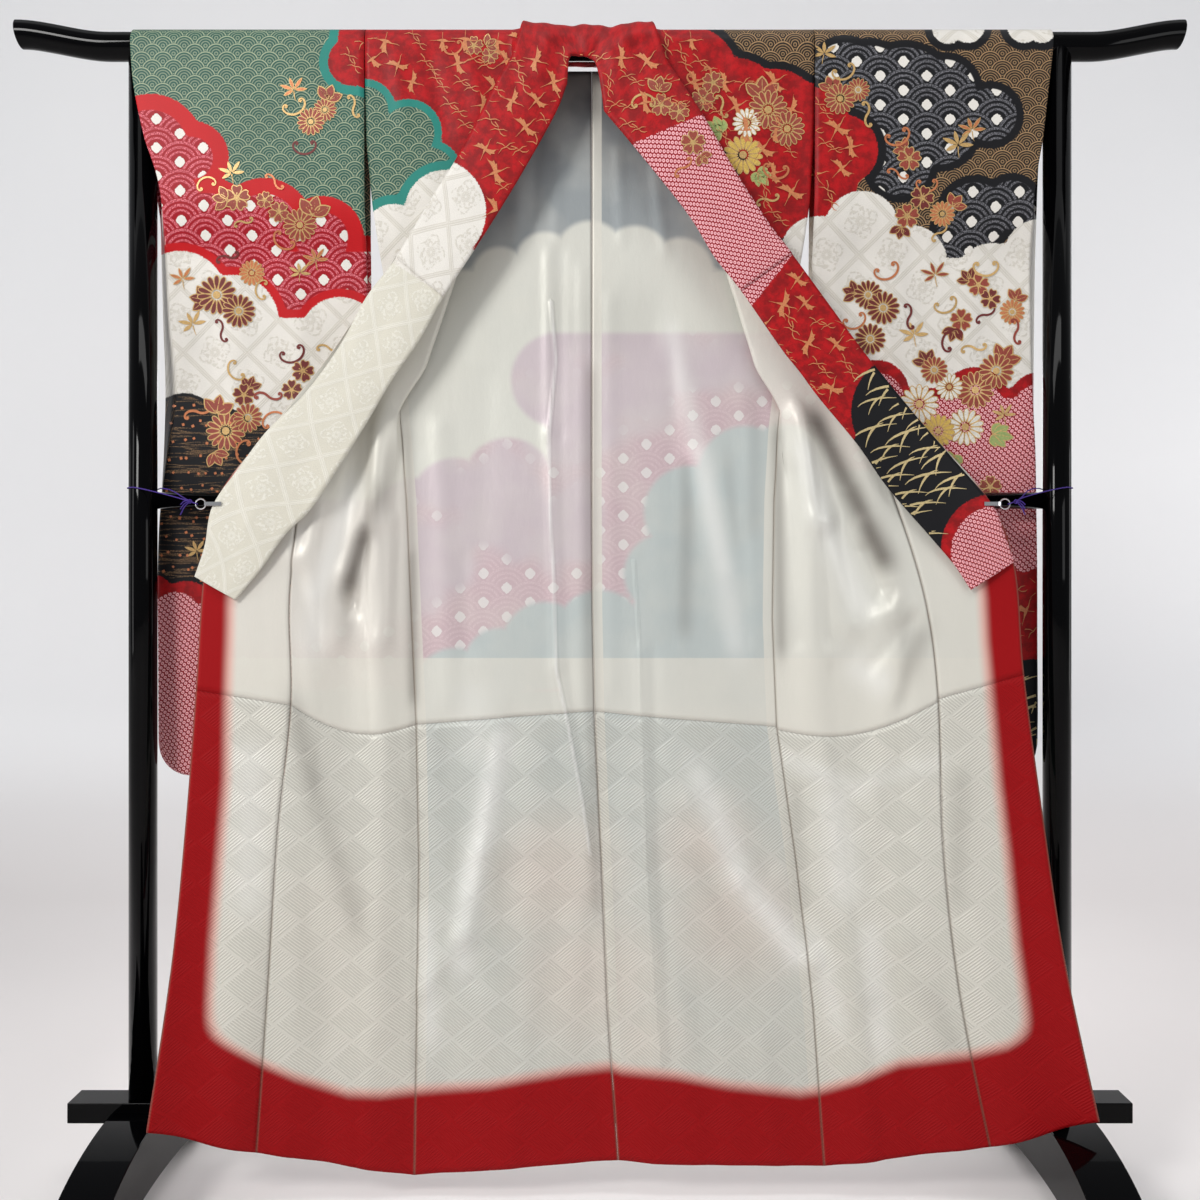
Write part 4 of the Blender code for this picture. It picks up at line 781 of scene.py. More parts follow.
@shared("Place", "Figure", Size=0.094)
def lozenges(g, place, size):
    """Woven lattice of lozenges, with a flower and two scrolling rings in each."""
    x, y, _ = g.split(place)
    fa, fb = g.fract((x + y) / size) - 0.5, g.fract((x - y) / size) - 0.5
    edge = g.larger(abs(fa), abs(fb))
    lattice = g.ramp(edge, 0.440, 0.452) - g.ramp(abs(edge - 0.476), 0.012, 0.006) * 0.8
    cx, cy = fa + fb, fa - fb
    turn, far = g.math("ARCTAN2", cy, cx), g.length(cx, cy)
    petals = g.ramp(far - (0.17 + g.math("COSINE", turn * 12.0) * 0.03), 0.02, -0.01)
    rays = g.ramp(abs(g.math("SINE", turn * 6.0)), 0.22, 0.40) * g.ramp(far, 0.035, 0.05)
    veins = g.ramp(g.noise(place, 210.0, 2.0, 0.6), 0.44, 0.54)
    inner = g.ramp(abs(far - (0.30 + g.math("COSINE", turn * 8.0) * 0.055)), 0.075, 0.055) * veins
    outer = g.ramp(abs(far - (0.44 + g.math("SINE", turn * 4.0) * 0.07)), 0.04, 0.028) * veins
    scroll = g.larger(inner, outer) * (1.0 - g.ramp(edge, 0.43, 0.44))
    return [g.larger(g.larger(lattice, petals * rays), scroll)]


@shared("Place", "Figure Height", Size=0.047, Threads=12.0)
def fence(g, place, size, threads):
    """Slanting woven fence, ribbed one way and then the other."""
    x, y, _ = g.split(place)
    y = y * 1.22
    a, b = (x + y) / (size * 1.5), (x - y) / (size * 1.5)
    odd = (g.math("FLOOR", a) + g.math("FLOOR", b)) % 2.0
    along = odd * a + (1.0 - odd) * b
    ridge = g.ramp(abs(g.fract(along * threads) - 0.5), 0.12, 0.38)
    inside = g.ramp(g.larger(abs(g.fract(a) - 0.5), abs(g.fract(b) - 0.5)), 0.480, 0.440)
    return ridge * inside + (1.0 - inside) * 0.4, ridge * inside + odd * 0.25


@shared("Place", "Shade Height", Grain=1100.0)
def crepe(g, place, grain):
    """Fine crepe grain over soft broad shades."""
    fine = g.noise(g.scale(place, (1.0, 0.55, 1.0)), grain)
    broad = g.noise(g.scale(place, (1.0, 0.30, 1.0)), 24.0, 3.0, 0.55)
    return fine * 0.6 + broad * 0.4, fine * 0.35 + broad * 0.65


@shared("", "Mask", Distance=0.0, Saw=0.0, Teeth=0.0022, Soft=0.0006)
def ragged_edge(g, distance, saw, teeth, soft):
    """Edge of a dyed field, cut up by a noise around 0."""
    return [g.ramp(distance + saw * 2.6 * teeth, soft * -1.0, soft)]


@shared("Place", "Mask")
def haze(g, place):
    """Drifting level bands of specks."""
    drift = g.noise(g.scale(place, (1.0, 11.0, 1.0)), 9.0, 2.0, 0.55)
    return [g.ramp(abs(drift - 0.52), 0.045, 0.02) * g.ramp(g.noise(place, 900.0, 1.0), 0.46, 0.60)]


@shared("Place", "Rough Dust")
def lacquer_wear(g, place):
    """Slightly cloudy gloss and specks of dust."""
    return 0.04 + g.noise(place, 9.0, 4.0, 0.6) * 0.05, g.ramp(g.noise(place, 420.0), 0.68, 0.80)


def pattern(g, name, place):
    """Colour, height and plain edge colour of one cloud field."""
    red, black, white = dye("red"), dye("black"), dye("white")
    drawn = {
        "teal_waves": ("gold_waves", colour(40, 136, 124), {
            "Radius": 0.0153, "Lines": 4.0, "Ground": dye("teal", 0.72), "Line": colour(164, 176, 146)}),
        "black_waves": ("gold_waves", black, {
            "Radius": 0.0175, "Inner": 0.70, "Ground": colour(20, 15, 13), "Line": colour(178, 144, 104)}),
        "red_waves": ("tied_waves", red, {
            "Ground": dye("deep_red", 1.15), "Line": colour(236, 128, 140), "Diamond": white}),
        "black_ties": ("tied_waves", black, {
            "Ground": black, "Line": colour(124, 124, 130), "Diamond": white}),
        "pink_dots": ("tied_dots", red, {"Ground": dye("deep_red"), "Light": dye("pink")}),
    }
    woven = {"white": (0.094, white, colour(220, 215, 204)),
             "cream": (0.078, colour(221, 217, 202), colour(234, 231, 219))}
    if name in drawn:
        group, plain, values = drawn[name]
        out = g.use(group, Place=place, **values)
        return out["Colour"], out["Height"], plain
    if name in woven:
        size, ground, thread = woven[name]
        figure = g.use("lozenges", Place=place, Size=size)["Figure"]
        return g.mix(figure, ground, thread), figure, ground
    if name == "black_haze":
        mask = g.use("haze", Place=place)["Mask"]
        return g.mix(mask, black, colour(150, 118, 84)), mask * 0.2, black
    if name == "black_grass":
        return black, 0.0, black
    mottled = g.ramp(g.noise(place, 60.0, 4.0, 0.65), 0.36, 0.66)
    return g.mix(mottled, dye("red", 0.48), dye("red", 0.90)), mottled * 0.25, red


def silk(name, base, fields):
    """Patterned silk crepe: the base pattern with the cloud fields over it, each by its own attribute."""
    mat, g = material(name)
    place = g.attribute("cloth", "Vector")
    saw = g.noise(place, 420.0, 2.0, 0.6) - 0.5
    ways = [g.attribute("cloud_%d" % i) for i in range(1, len(fields) + 1)]
    made = {}
    for i, kind in enumerate((base, *(field[0] for field in fields))):
        if kind not in made:
            made[kind] = pattern(g, kind, place)
        shade, raised, plain = made[kind]
        own, beside = PLAIN.get(kind, (0.0, 0.0))
        bands = []
        if i and own:
            bands.append(g.ramp(ways[i - 1], own, own - 0.002))
        if beside and i < len(fields):
            bands.append(g.ramp(ways[i], -beside, -beside + 0.002))
        if bands:
            band = g.larger(*bands) if len(bands) > 1 else bands[0]
            shade, raised = g.mix(band, shade, plain), raised * (1.0 - band)
        if i == 0:
            tone, height = shade, raised
            continue
        mask = g.use("ragged_edge", Distance=ways[i - 1], Saw=saw)["Mask"]
        tone, height = g.mix(mask, tone, shade), raised * mask + height * (1.0 - mask)
    grain = g.use("crepe", Place=place)
    # Painted shade along the seams, where the outer cloth shows in the gaps between the linings
    tone = g.mix(g.ramp(g.attribute("seam"), 0.0042, 0.0015), g.shaded(tone, grain, 0.25, 0.75, 0.84, 1.06),
                 colour(112, 92, 76))
    g.finish(Base_Color=tone, Normal=g.bump(grain["Height"] * 0.6 + height * 0.7, 0.45, 0.0010),
             Roughness=0.50, Specular_IOR_Level=0.28, Sheen_Weight=0.06, Sheen_Roughness=0.4)
    return mat


def lining_silk(name, figured):
    """Off-white lining, smooth above and figured below, with the dyed border and what shows through it, and
    painted shade and highlights: under the neck, in the folds, along the seams and on the pleat.
    """
    mat, g = material(name)
    place = g.attribute("cloth", "Vector")
    grain = g.use("crepe", Place=place, Grain=1400.0)
    shown = colour(*TINTS["teal" if figured else "grey"])
    edge = 0.060 if figured else 0.0055
    for i, (tint, _, _) in enumerate(VEILS, 1):
        if (tint == "blush") != figured:
            continue
        tone = colour(*TINTS[tint])
        if tint == "pink":
            tied = g.use("tied_waves", Place=place, Ground=colour(206, 184, 188), Line=colour(216, 196, 199),
                         Diamond=colour(226, 220, 218))["Colour"]
            patchy = g.attribute("veil_%d" % (i + 1)) + (g.noise(place, 9.0) - 0.5) * 0.16
            tone = g.mix(g.ramp(patchy, -0.085, -0.045), tone, tied)
        shown = g.mix(g.ramp(g.attribute("veil_%d" % i), -edge, edge), shown, tone)
    # Darker under the neck: partly the dark outer cloth showing through, partly painted shadow
    shown = g.mix(g.attribute("neck"), shown, colour(92, 90, 92))
    cover = g.attribute("cover") * (1.0 - g.ramp(g.attribute("strip"), 0.0150, 0.0138, 0.0, 0.75))
    if not figured:
        cover = cover * g.ramp(g.attribute("band"), 0.0008, -0.0008, 0.30, 1.0)
    cover = cover * g.ramp(g.noise(place, 11.0, 3.0), 0.30, 0.70, 0.80, 1.05)
    tone = g.mix(cover, dye("cream"), shown)
    height = grain["Height"] * 0.6
    if figured:
        woven = g.use("fence", Place=place)
        tone = g.mix(woven["Figure"] * 0.42, tone, colour(158, 156, 146))
        height = height + woven["Height"] * 1.2
    pleat = g.attribute("pleat_1")
    # Painted highlight along the first pleat's crease
    tone = g.mix(g.ramp(pleat, 0.0040, 0.0, 0.0, 0.55), tone, colour(246, 245, 242))
    # Painted shade in the folds' hollows and painted highlights on their ridges, from the tone attribute
    folded = g.attribute("tone")
    tone = g.mix(folded * 0.84, tone, colour(88, 80, 74))
    tone = g.mix(folded * -0.62, tone, colour(252, 252, 248))
    red = g.ramp(g.attribute("border"), -0.012, 0.016)
    red = red + (g.noise(place, 8.0, 3.0) - 0.5) * 0.5 * (red * (1.0 - red))
    dyed = g.mix(g.ramp(red, 0.15, 1.0), colour(236, 104, 78), dye("red", 0.60))
    if figured:
        dyed = g.mix(woven["Figure"] * 0.30, dyed, dye("red", 0.45))
    tone = g.shaded(g.mix(red, tone, dyed), grain, 0.2, 0.8, 0.95, 1.02)
    # Painted shade along the seams
    tone = g.mix(g.ramp(g.attribute("seam"), 0.0032, 0.0, 0.0, 0.50), tone, colour(128, 112, 96))
    pressed = g.larger(g.ramp(pleat, 0.0056, 0.0), g.ramp(g.attribute("pleat_2"), 0.0046, 0.0, 0.0, 0.6))
    crumple = g.noise(g.scale(place, (1.0, 0.42, 1.0)), 60.0, 3.0, 0.6)
    height = height + pressed * 3.2 + crumple * 1.1
    g.finish(Base_Color=tone, Normal=g.bump(height, 0.42, 0.0010), Specular_IOR_Level=0.16,
             Roughness=g.ramp(red, 0.2, 0.8, 0.40, 0.60), Metallic=g.ramp(red, 0.0, 0.8, 0.13, 0.0))
    return mat


def lacquer():
    mat, g = material("black_lacquer")
    wear = g.use("lacquer_wear", Place=g.own_place())
    g.finish(Base_Color=g.mix(wear["Dust"], dye("lacquer"), colour(8, 8, 9)), Roughness=wear["Rough"],
             Specular_IOR_Level=0.09, Coat_Weight=0.05, Coat_Roughness=0.02)
    return mat


def steel():
    mat, g = material("bright_steel")
    scratch = g.noise(g.scale(g.own_place(), (1.0, 1.0, 14.0)), 240.0, 3.0, 0.6)
    g.finish(Base_Color=g.mix(g.ramp(scratch, 0.35, 0.75), (0.80, 0.80, 0.81, 1), (0.60, 0.60, 0.62, 1)),
             Roughness=g.ramp(scratch, 0.2, 0.8, 0.11, 0.24), Metallic=1.0)
    return mat


def twisted_cord():
    mat, g = material("purple_cord")
    x, y, z = g.split(g.own_place())
    twist = g.math("SINE", (x + y + z) * 5200.0)
    g.finish(Base_Color=g.mix(g.ramp(twist, -0.6, 0.6), colour(40, 20, 96), colour(84, 52, 168)),
             Normal=g.bump(twist, 0.5, 0.0003), Roughness=0.7)
    return mat


def print_material(fill):
    """Printed or stitched motif colour with fine thread lines, made once."""
    name = "print_" + fill
    if name in bpy.data.materials:
        return bpy.data.materials[name]
    mat, g = material(name)
    mottled = g.noise(g.own_place(), 520.0, 3.0, 0.6)
    tone = g.mix(g.ramp(mottled, 0.3, 0.7), colour(*(v * 0.86 for v in FILLS[fill])), colour(*FILLS[fill]))
    shiny = fill in ("gold", "copper", "wheat")
    g.finish(Base_Color=tone, Normal=g.bump(mottled, 0.3, 0.0004), Roughness=0.34 if shiny else 0.5,
             Metallic=0.35 if shiny else 0.0)
    return mat


def table(rows, k):
    """Row k of a table, curved smoothly between whole rows."""
    rows = np.asarray(rows, float) * 0.01
    k = min(max(k, 0.0), len(rows) - 1.0)
    i = min(int(k), len(rows) - 2)
    t = k - i
    a, b = rows[i], rows[i + 1]
    before = rows[max(i - 1, 0)]
    after = rows[min(i + 2, len(rows) - 1)]
    m0, m1 = (b - before) / 2, (after - a) / 2
    return ((2 * t**3 - 3 * t**2 + 1) * a + (t**3 - 2 * t**2 + t) * m0
            + (3 * t**2 - 2 * t**3) * b + (t**3 - t**2) * m1)


def straight(rows, k):
    """Row k of a table, straight between whole rows."""
    rows = np.asarray(rows, float) * 0.01
    i = min(int(k), len(rows) - 2)
    return rows[i] + (rows[i + 1] - rows[i]) * (k - i)


def soft(t):
    t = np.clip(t, 0.0, 1.0)
    return t * t * (3 - 2 * t)


def seen(points):
    """Where points stand on the photograph's square: across, down. Points behind are seen mirrored."""
    depth = EYE_Y + points[..., 1]
    return MIDDLE + points[..., 0] / depth * FOCAL, MIDDLE - (points[..., 2] - EYE_Z) / depth * FOCAL


def ray(across, down):
    """Direction from the eye through a place on the photograph's square."""
    return Vector(((across - MIDDLE) / FOCAL, 1.0, -(down - MIDDLE) / FOCAL)).normalized()


def by_line(across, down, x0, y0, x1, y1):
    """Ways of places from a line's course and past its ends, in pixels."""
    long = math.hypot(x1 - x0, y1 - y0)
    beside = ((across - x0) * (y1 - y0) - (down - y0) * (x1 - x0)) / long
    along = ((across - x0) * (x1 - x0) + (down - y0) * (y1 - y0)) / long
    return beside, np.maximum(np.abs(along - long / 2) - long / 2, 0.0)


def fold_tones(across, down):
    """Painted highlights and painted shade of the folds, from -1 for a painted highlight to 1 for painted
    shade.
    """
    light, dark = np.zeros(across.shape), np.zeros(across.shape)
    for *line, width, share in PAINTED_FOLD_LINES:
        beside, past = by_line(across, down, *line)
        tone = share * np.exp(-(beside / width) ** 2 - (past / PAINTED_SHADE_END) ** 2)
        light, dark = np.minimum(light, tone), np.maximum(dark, tone)
    return light + dark


def creased(points):
    """Points moved towards or away from the viewer by the folds that pass over them."""
    across, down = seen(points)
    out = points.copy()
    for *line, width, height in CREASES:
        beside, past = by_line(across, down, *line)
        far = (beside ** 2 + past ** 2) / width ** 2 + (past / FOLD_SOFT) ** 2
        out[..., 1] -= height * 0.001 * np.exp(-far)
    return out


def fine_rows(side, first, last, step):
    """Row numbers from one row to another, evenly spaced in height."""
    heights = np.array([row[1] for row in FRONT[side]]) * 0.01
    low, high = np.interp((first, last), range(len(heights)), heights)
    count = max(int(round(abs(high - low) / step)), 1)
    return np.interp(np.linspace(low, high, count + 1), heights, range(len(heights)))


def back_row(side, k, us):
    """Back panel: u = 0 on the side seam, 1 on the line under the neck point, 2 on the centre seam."""
    sx, sz = straight(FRONT[side], k)[:2]
    cx, cz, y = straight(DEPTH, k)[:3]
    sign = SIGN[side]
    nx = min(abs(NECK_X[side]), abs(sx) * 0.5) * sign
    a = sx - sign * SEAM
    b = cx + sign * SEAM
    w = soft((k - 7.0) / 5.0)
    top = np.interp(us, (0, FOLD_START, FOLD_END, 1), (0, 0.95, 0.965, 1))
    g = np.minimum(us, 1.0) * (1 - w) + top * w
    s = np.where(us <= 1, 0.62 * g, 0.62 + 0.38 * (us - 1))
    x = np.where(us <= 1, a + (nx - a) * g, nx + (b - nx) * (us - 1))
    z = sz + (cz - sz) * s
    wave = 0.007 * soft((6.0 - k) / 5.0) * np.sin(math.pi * s) ** 2
    return np.stack([x, y - wave, z], axis=1)


def front_row(side, k, us):
    """Front panel: u = 0 on the side seam or armhole, 1 on the gore seam or the collar's seam."""
    fx, ox, oz = table(FRONT[side], k)[2:5]
    _, _, _, y1, y2, yo, _, amp = table(DEPTH, k)
    sx, sz = straight(FRONT[side], k)[:2]
    yb = straight(DEPTH, k)[2]
    sign = SIGN[side]
    sx += sign * SEAM
    ox -= sign * SEAM
    u0, u1 = FOLD_START, FOLD_END
    if k < 9:
        low = np.interp(us, (0, u0, u1, 1), (0, 0.04, 0.085, 1))
        w = soft((k - 4.0) / 2.0)
        g = us * (1 - w) + low * w
        sag = SAG * math.exp(-((k - SEAM_ROW) / 1.6) ** 2) * np.sin(math.pi * g)
        wave = 1.3 * amp * np.sin(math.pi * g) ** 2 * np.sin(2 * math.pi * g * 1.25 + 0.25)
        wave = np.where(wave > 0, wave, 0.3 * wave)
        lead = soft((k - 5.3) / 0.7)
        start = yb - 0.003 * lead
        step = np.where(us < u0, start + (y1 - start) * us / u0, y1 + (yo - y1) * (g - 0.04) / 0.96)
        y = (start + (yo - start) * g) * (1 - lead) + step * lead
        flat = np.stack([sx + (ox - sx) * g, y - wave, sz + (oz - sz) * g - sag], axis=1)
        f = soft((k - 5.9) / 1.1)
    else:
        g = np.interp(us, (0, u0, u1, 1), (0, 0.95, 0.965, 1))
        y = y1 + (yo - y1) * np.maximum(us - u0, 0.0) / (1 - u0)
        flat = np.stack([sx + (ox - sx) * g, y, sz + (oz - sz) * g], axis=1)
        f = 1 - soft(k - 12.0)
    t = us / u0
    rise = (yb - 0.005 - y1) * np.maximum(1 - t, 0.0) ** 2 * soft(9.5 - k)
    a = math.pi * np.clip((us - u0) / (u1 - u0), 0, 1)
    r = (y1 - y2) / 2
    past = np.clip((us - u1) / (1 - u1), 0, 1)
    x = np.where(us <= u0, sx + (fx - sx) * t,
                 np.where(us < u1, fx - sign * r * np.sin(a), fx + (ox - fx) * past))
    y = np.where(us <= u0, y1 + rise, np.where(us < u1, (y1 + y2) / 2 + r * np.cos(a), y2 + (yo - y2) * past))
    folded = np.stack([x, y, sz + (oz - sz) * us], axis=1)
    return (1 - f) * flat + f * folded


# Shares across a front, then on to the centre of the back, and round the bar
BODY_US = np.concatenate([np.linspace(0, FOLD_START, 31), np.linspace(FOLD_START, FOLD_END, 10)[1:],
                          np.linspace(FOLD_END, 1, 29)[1:]])
NECK_US = np.linspace(1, 2, 27)[1:]
ARC = np.linspace(0, 1, 13)[1:]


def body_points(side):
    """The whole length from the front hem over the bar to the back hem, with the columns of the neck."""
    step = settings().cloth.step
    front_ks = np.concatenate([fine_rows(side, 0, 6, step), fine_rows(side, 6, TOP_ROW, step)[1:]])
    front = [front_row(side, k, BODY_US) for k in front_ks]
    last = front[-1]
    arcs = []
    for t in ARC:
        a = math.pi * t
        r = SHOULDER_R + (-last[:, 1] - SHOULDER_R) * (1 - soft(t * 2.0))
        arcs.append(np.stack([last[:, 0], -r * math.cos(a), BAR_Z + r * math.sin(a)], axis=1))
    back_ks = np.concatenate([fine_rows(side, NECK_ROW, SEAM_ROW, step),
                              fine_rows(side, SEAM_ROW, 0, step)[1:]])
    us = np.concatenate([BODY_US, NECK_US])
    back = np.array([back_row(side, k, us) for k in back_ks])
    return creased(np.array(front)), front_ks, np.array(arcs), creased(back), back_ks


def normals(points):
    n = np.cross(np.gradient(points, axis=1), np.gradient(points, axis=0))
    return n / np.maximum(np.linalg.norm(n, axis=2, keepdims=True), 1e-12)


def toward_viewer(points, d):
    """Points moved by d along the normals, on the side that faces the viewer at the last column."""
    n = normals(points)
    mid = points.shape[0] // 2
    if n[mid, -1, 1] > 0:
        n = -n
    return points + n * d


def drawn_out(points, last=True):
    """The grid with its first column, and its last one, moved out to meet the neighbours."""
    out = points.copy()
    for edge, beside in ((0, 1), (-1, -2))[:2 if last else 1]:
        way = points[:, beside] - points[:, edge]
        out[:, edge] -= way / np.linalg.norm(way, axis=1, keepdims=True) * REACH
    return out


def metres(way):
    return np.clip(way, -60, 60) * PIXEL


def field_distance(across, down, circles, planes=(), side=0, boxes=()):
    """How far inside a union of circles, half planes and boxes a place is, in metres; negative outside."""
    best = np.full(np.shape(across), -1e3)
    for cx, cy, r in circles:
        best = np.maximum(best, r - np.hypot(across - cx, down - cy))
    for a, b, c in planes:
        best = np.maximum(best, (a * across + b * down - c) / math.hypot(a, b))
    for left, top, right, bottom in boxes:
        best = np.maximum(best, np.minimum.reduce([across - left, right - across, down - top, bottom - down]))
    return metres(np.minimum(best, side * (across - CENTRE)) if side else best)


def border_distance(across, down):
    """How far inside the red border of the lining a place is, in metres, with rounded corners."""
    heights, lefts, rights = zip(*BORDER_SIDES)
    ways = np.stack([np.interp(down, heights, lefts) - across, across - np.interp(down, heights, rights),
                     down - np.interp(across, *zip(*BORDER_HEM))])
    return metres(CORNER * np.log(np.exp(np.clip(ways, -80, 80) / CORNER).sum(axis=0)))


def pleat_distance(across, down, line):
    """Way across to a pressed pleat, in metres; far where the pleat has ended."""
    heights, places = zip(*line)
    past = np.maximum(heights[0] - down, 0) + np.maximum(down - heights[-1], 0)
    return np.abs(across - np.interp(down, heights, places)) * PIXEL + past * 0.002


def edge_way(points, first=True, last=True):
    """Way along the rows to the nearer of the grid's side edges, in metres."""
    steps = np.linalg.norm(np.diff(points, axis=1), axis=2)
    long = np.concatenate([np.zeros((len(points), 1)), np.cumsum(steps, axis=1)], axis=1)
    way = np.full(long.shape, FAR)
    if first:
        way = np.minimum(way, long)
    if last:
        way = np.minimum(way, long[:, -1:] - long)
    return way


def mesh_of(name, bm):
    """Mesh with what the bmesh holds, which is freed."""
    mesh = bpy.data.meshes.new(name)
    bm.to_mesh(mesh)
    bm.free()
    return mesh


def shown(name, data):
    obj = bpy.data.objects.new(name, data)
    bpy.context.scene.collection.objects.link(obj)
    return obj


def stands_for(obj, node):
    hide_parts(node)
    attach(obj, "root")


def cloth(name, points, thick, mat, place=None, marks=None, keep=None, sewn=None, rests_on=("top_bar",)):
    """Cloth piece: a grid through the points, with its flat place and marks on every point, and a wall."""
    rows, cols = points.shape[:2]
    values = {"cloth": points - (0, 0, BAR_Z) if place is None else place, **marks}
    bm = bmesh.new()
    kinds = bm.verts.layers
    layers = {key: (kinds.float_vector if key == "cloth" else kinds.float).new(key) for key in values}
    bmesh.ops.create_grid(bm, x_segments=cols - 1, y_segments=rows - 1, size=0.5)
    order = [(round((v.co.y + 0.5) * (rows - 1)), round((v.co.x + 0.5) * (cols - 1))) for v in bm.verts]
    at = dict(zip(order, bm.verts))
    for rc, v in at.items():
        v.co = points[rc]
    if sewn:
        sewn(bm, at, rows, cols)
    for rc, v in at.items():
        for key, value in values.items():
            v[layers[key]] = value[rc] if key == "cloth" else float(value[rc])
    if keep is not None:
        bmesh.ops.delete(bm, geom=[v for rc, v in at.items() if not keep[rc]], context="VERTS")
    bmesh.ops.recalc_face_normals(bm, faces=bm.faces)
    mesh = mesh_of("silk_" + name, bm)
    mesh.materials.append(mat)
    mesh.shade_smooth()
    obj = shown("silk_" + name, mesh)
    wall = obj.modifiers.new("wall", "SOLIDIFY")
    wall.thickness = thick
    wall.offset = 0.0
    stands_for(obj, name)
    SURFACES[name] = {"object": obj, "thick": thick, "rests_on": list(rests_on), "prints": []}


def laid_flat(points, end, col):
    """Flat place on a long panel: across, and the way down from row end, upright in front and behind."""
    way = np.concatenate([[0], np.cumsum(np.linalg.norm(np.diff(points[:, col], axis=0), axis=1))])
    place = np.zeros(points.shape)
    place[..., 0] = points[..., 0]
    place[..., 1] = -np.abs(way - way[end])[:, None]
    return place


def marks_for(fields, across, down, start=1):
    return {"cloud_%d" % i: field_distance(across, down, *field[1:]) for i, field in enumerate(fields, start)}


def body_piece(side):
    """One panel from the front hem over the bar to the back hem."""
    front, _, arcs, back, _ = body_points(side)
    over, wide = len(front) + len(arcs), len(BODY_US)
    pts = np.zeros((over + len(back), wide + len(NECK_US), 3))
    pts[:over, :wide] = np.concatenate([front, arcs])
    pts[:over, wide:] = pts[:over, wide - 1:wide]
    pts[over:] = back
    keep = np.ones(pts.shape[:2], bool)
    keep[:over, wide:] = False
    name = "body_" + side
    across, down = seen(pts)
    hidden = (pts[..., 1] > 0) | (down > OUTER_END)
    marks = {key: np.where(hidden, OUTSIDE, mark)
             for key, mark in marks_for(CLOUDS[name], across, down).items()}
    for key, mark in marks_for(BEHIND, across, down, len(marks) + 1).items():
        marks[key] = np.where(hidden, mark, OUTSIDE)
    seam = np.full(pts.shape[:2], FAR)
    seam[:over, :wide] = edge_way(pts[:over, :wide])
    seam[over:] = edge_way(back)
    # Way to the seam edges on the inner side, for the painted shade along the seams
    marks["seam"] = np.where(hidden & (pts[..., 1] <= 0), seam, FAR)
    cloth(name, pts, settings().cloth.outer, silk(name + "_silk", BASES[name], CLOUDS[name] + BEHIND),
          place=laid_flat(pts, over, 20), marks=marks, keep=keep)


def halves(points, ks):
    """A lining's part on each side of the seam row, drawn over each other a little there."""
    cut = int(np.argmin(np.abs(ks - SEAM_ROW)))
    first, second = points[:cut + 1].copy(), points[cut:].copy()
    lap = LAP if ks[0] > ks[-1] else -LAP
    first[-1, :, 2] += lap
    second[0, :, 2] -= lap
    return first, second


def body_linings(side):
    """Upper and lower linings of the back and the front, from the panels' own points moved inward."""
    front, front_ks, _, back, back_ks = body_points(side)
    inner = drawn_out(toward_viewer(back, LINING_GAP))
    strip = edge_way(inner, True, side == "left")
    upper, lower = halves(inner, back_ks)
    lining_piece("lining_back_upper_" + side, upper, False, strip[:len(upper)])
    lining_piece("lining_back_lower_" + side, lower, True, strip[-len(lower):])
    top = int(np.searchsorted(front_ks, LINING_TOP)) + 1
    lower, upper = halves(drawn_out(toward_viewer(front[:top], LINING_GAP)), front_ks[:top])
    lining_piece("lining_front_lower_" + side, lower, True)
    keep = np.ones(upper.shape[:2], bool)
    folded = int(np.searchsorted(front_ks[top - len(upper):], HIDDEN_ROW)) + 4
    keep[folded:, :int(np.searchsorted(BODY_US, HIDDEN_SHARE))] = False
    lining_piece("lining_front_upper_" + side, upper, False, keep=keep)


def lining_piece(name, points, figured, strip=None, keep=None):
    """One lining with what its silk reads: colours that show through, painted shade under the neck, borders,
    painted shade and highlights of the folds, pleats, and seams for the painted shade along them.
    """
    across, down = seen(points)
    back = "back" in name
    marks = {"veil_%d" % i: field_distance(across, down, circles, boxes=boxes)
             for i, (_, circles, boxes) in enumerate(VEILS, 1)}
    marks["border"] = border_distance(across, down)
    cover = np.interp(down, (60, 600, 700, 720, 860, 1050), (1.0, 1.0, 1.0, 0.66, 0.54, 0.32))
    marks["cover"] = cover * (1.0 if back else 0.12 if "gore" in name else 0.22)
    # Share of the darker grey under the neck on the back, partly show-through and partly painted shadow
    marks["neck"] = np.interp(down, (75, 110, 150, 185), (0.95, 0.75, 0.25, 0.0)) * back
    marks["band"] = (down - OUTER_FOOT) * PIXEL
    # Painted shade and painted highlights of the folds
    marks["tone"] = fold_tones(across, down)
    marks["strip"] = np.full(across.shape, FAR) if strip is None else strip
    # Way to the edges, for the painted shade along the seams
    marks["seam"] = edge_way(points)
    for i, line in enumerate(PLEATS, 1):
        marks["pleat_%d" % i] = pleat_distance(across, down, line) + (0.0 if back else FAR)
    place = np.stack([points[..., 0], points[..., 2], np.zeros(across.shape)], axis=-1)
    key = "figured_lining" if figured else "smooth_lining"
    mat = bpy.data.materials.get(key) or lining_silk(key, figured)
    cloth(name, points, settings().cloth.lining, mat, place=place, marks=marks, keep=keep)


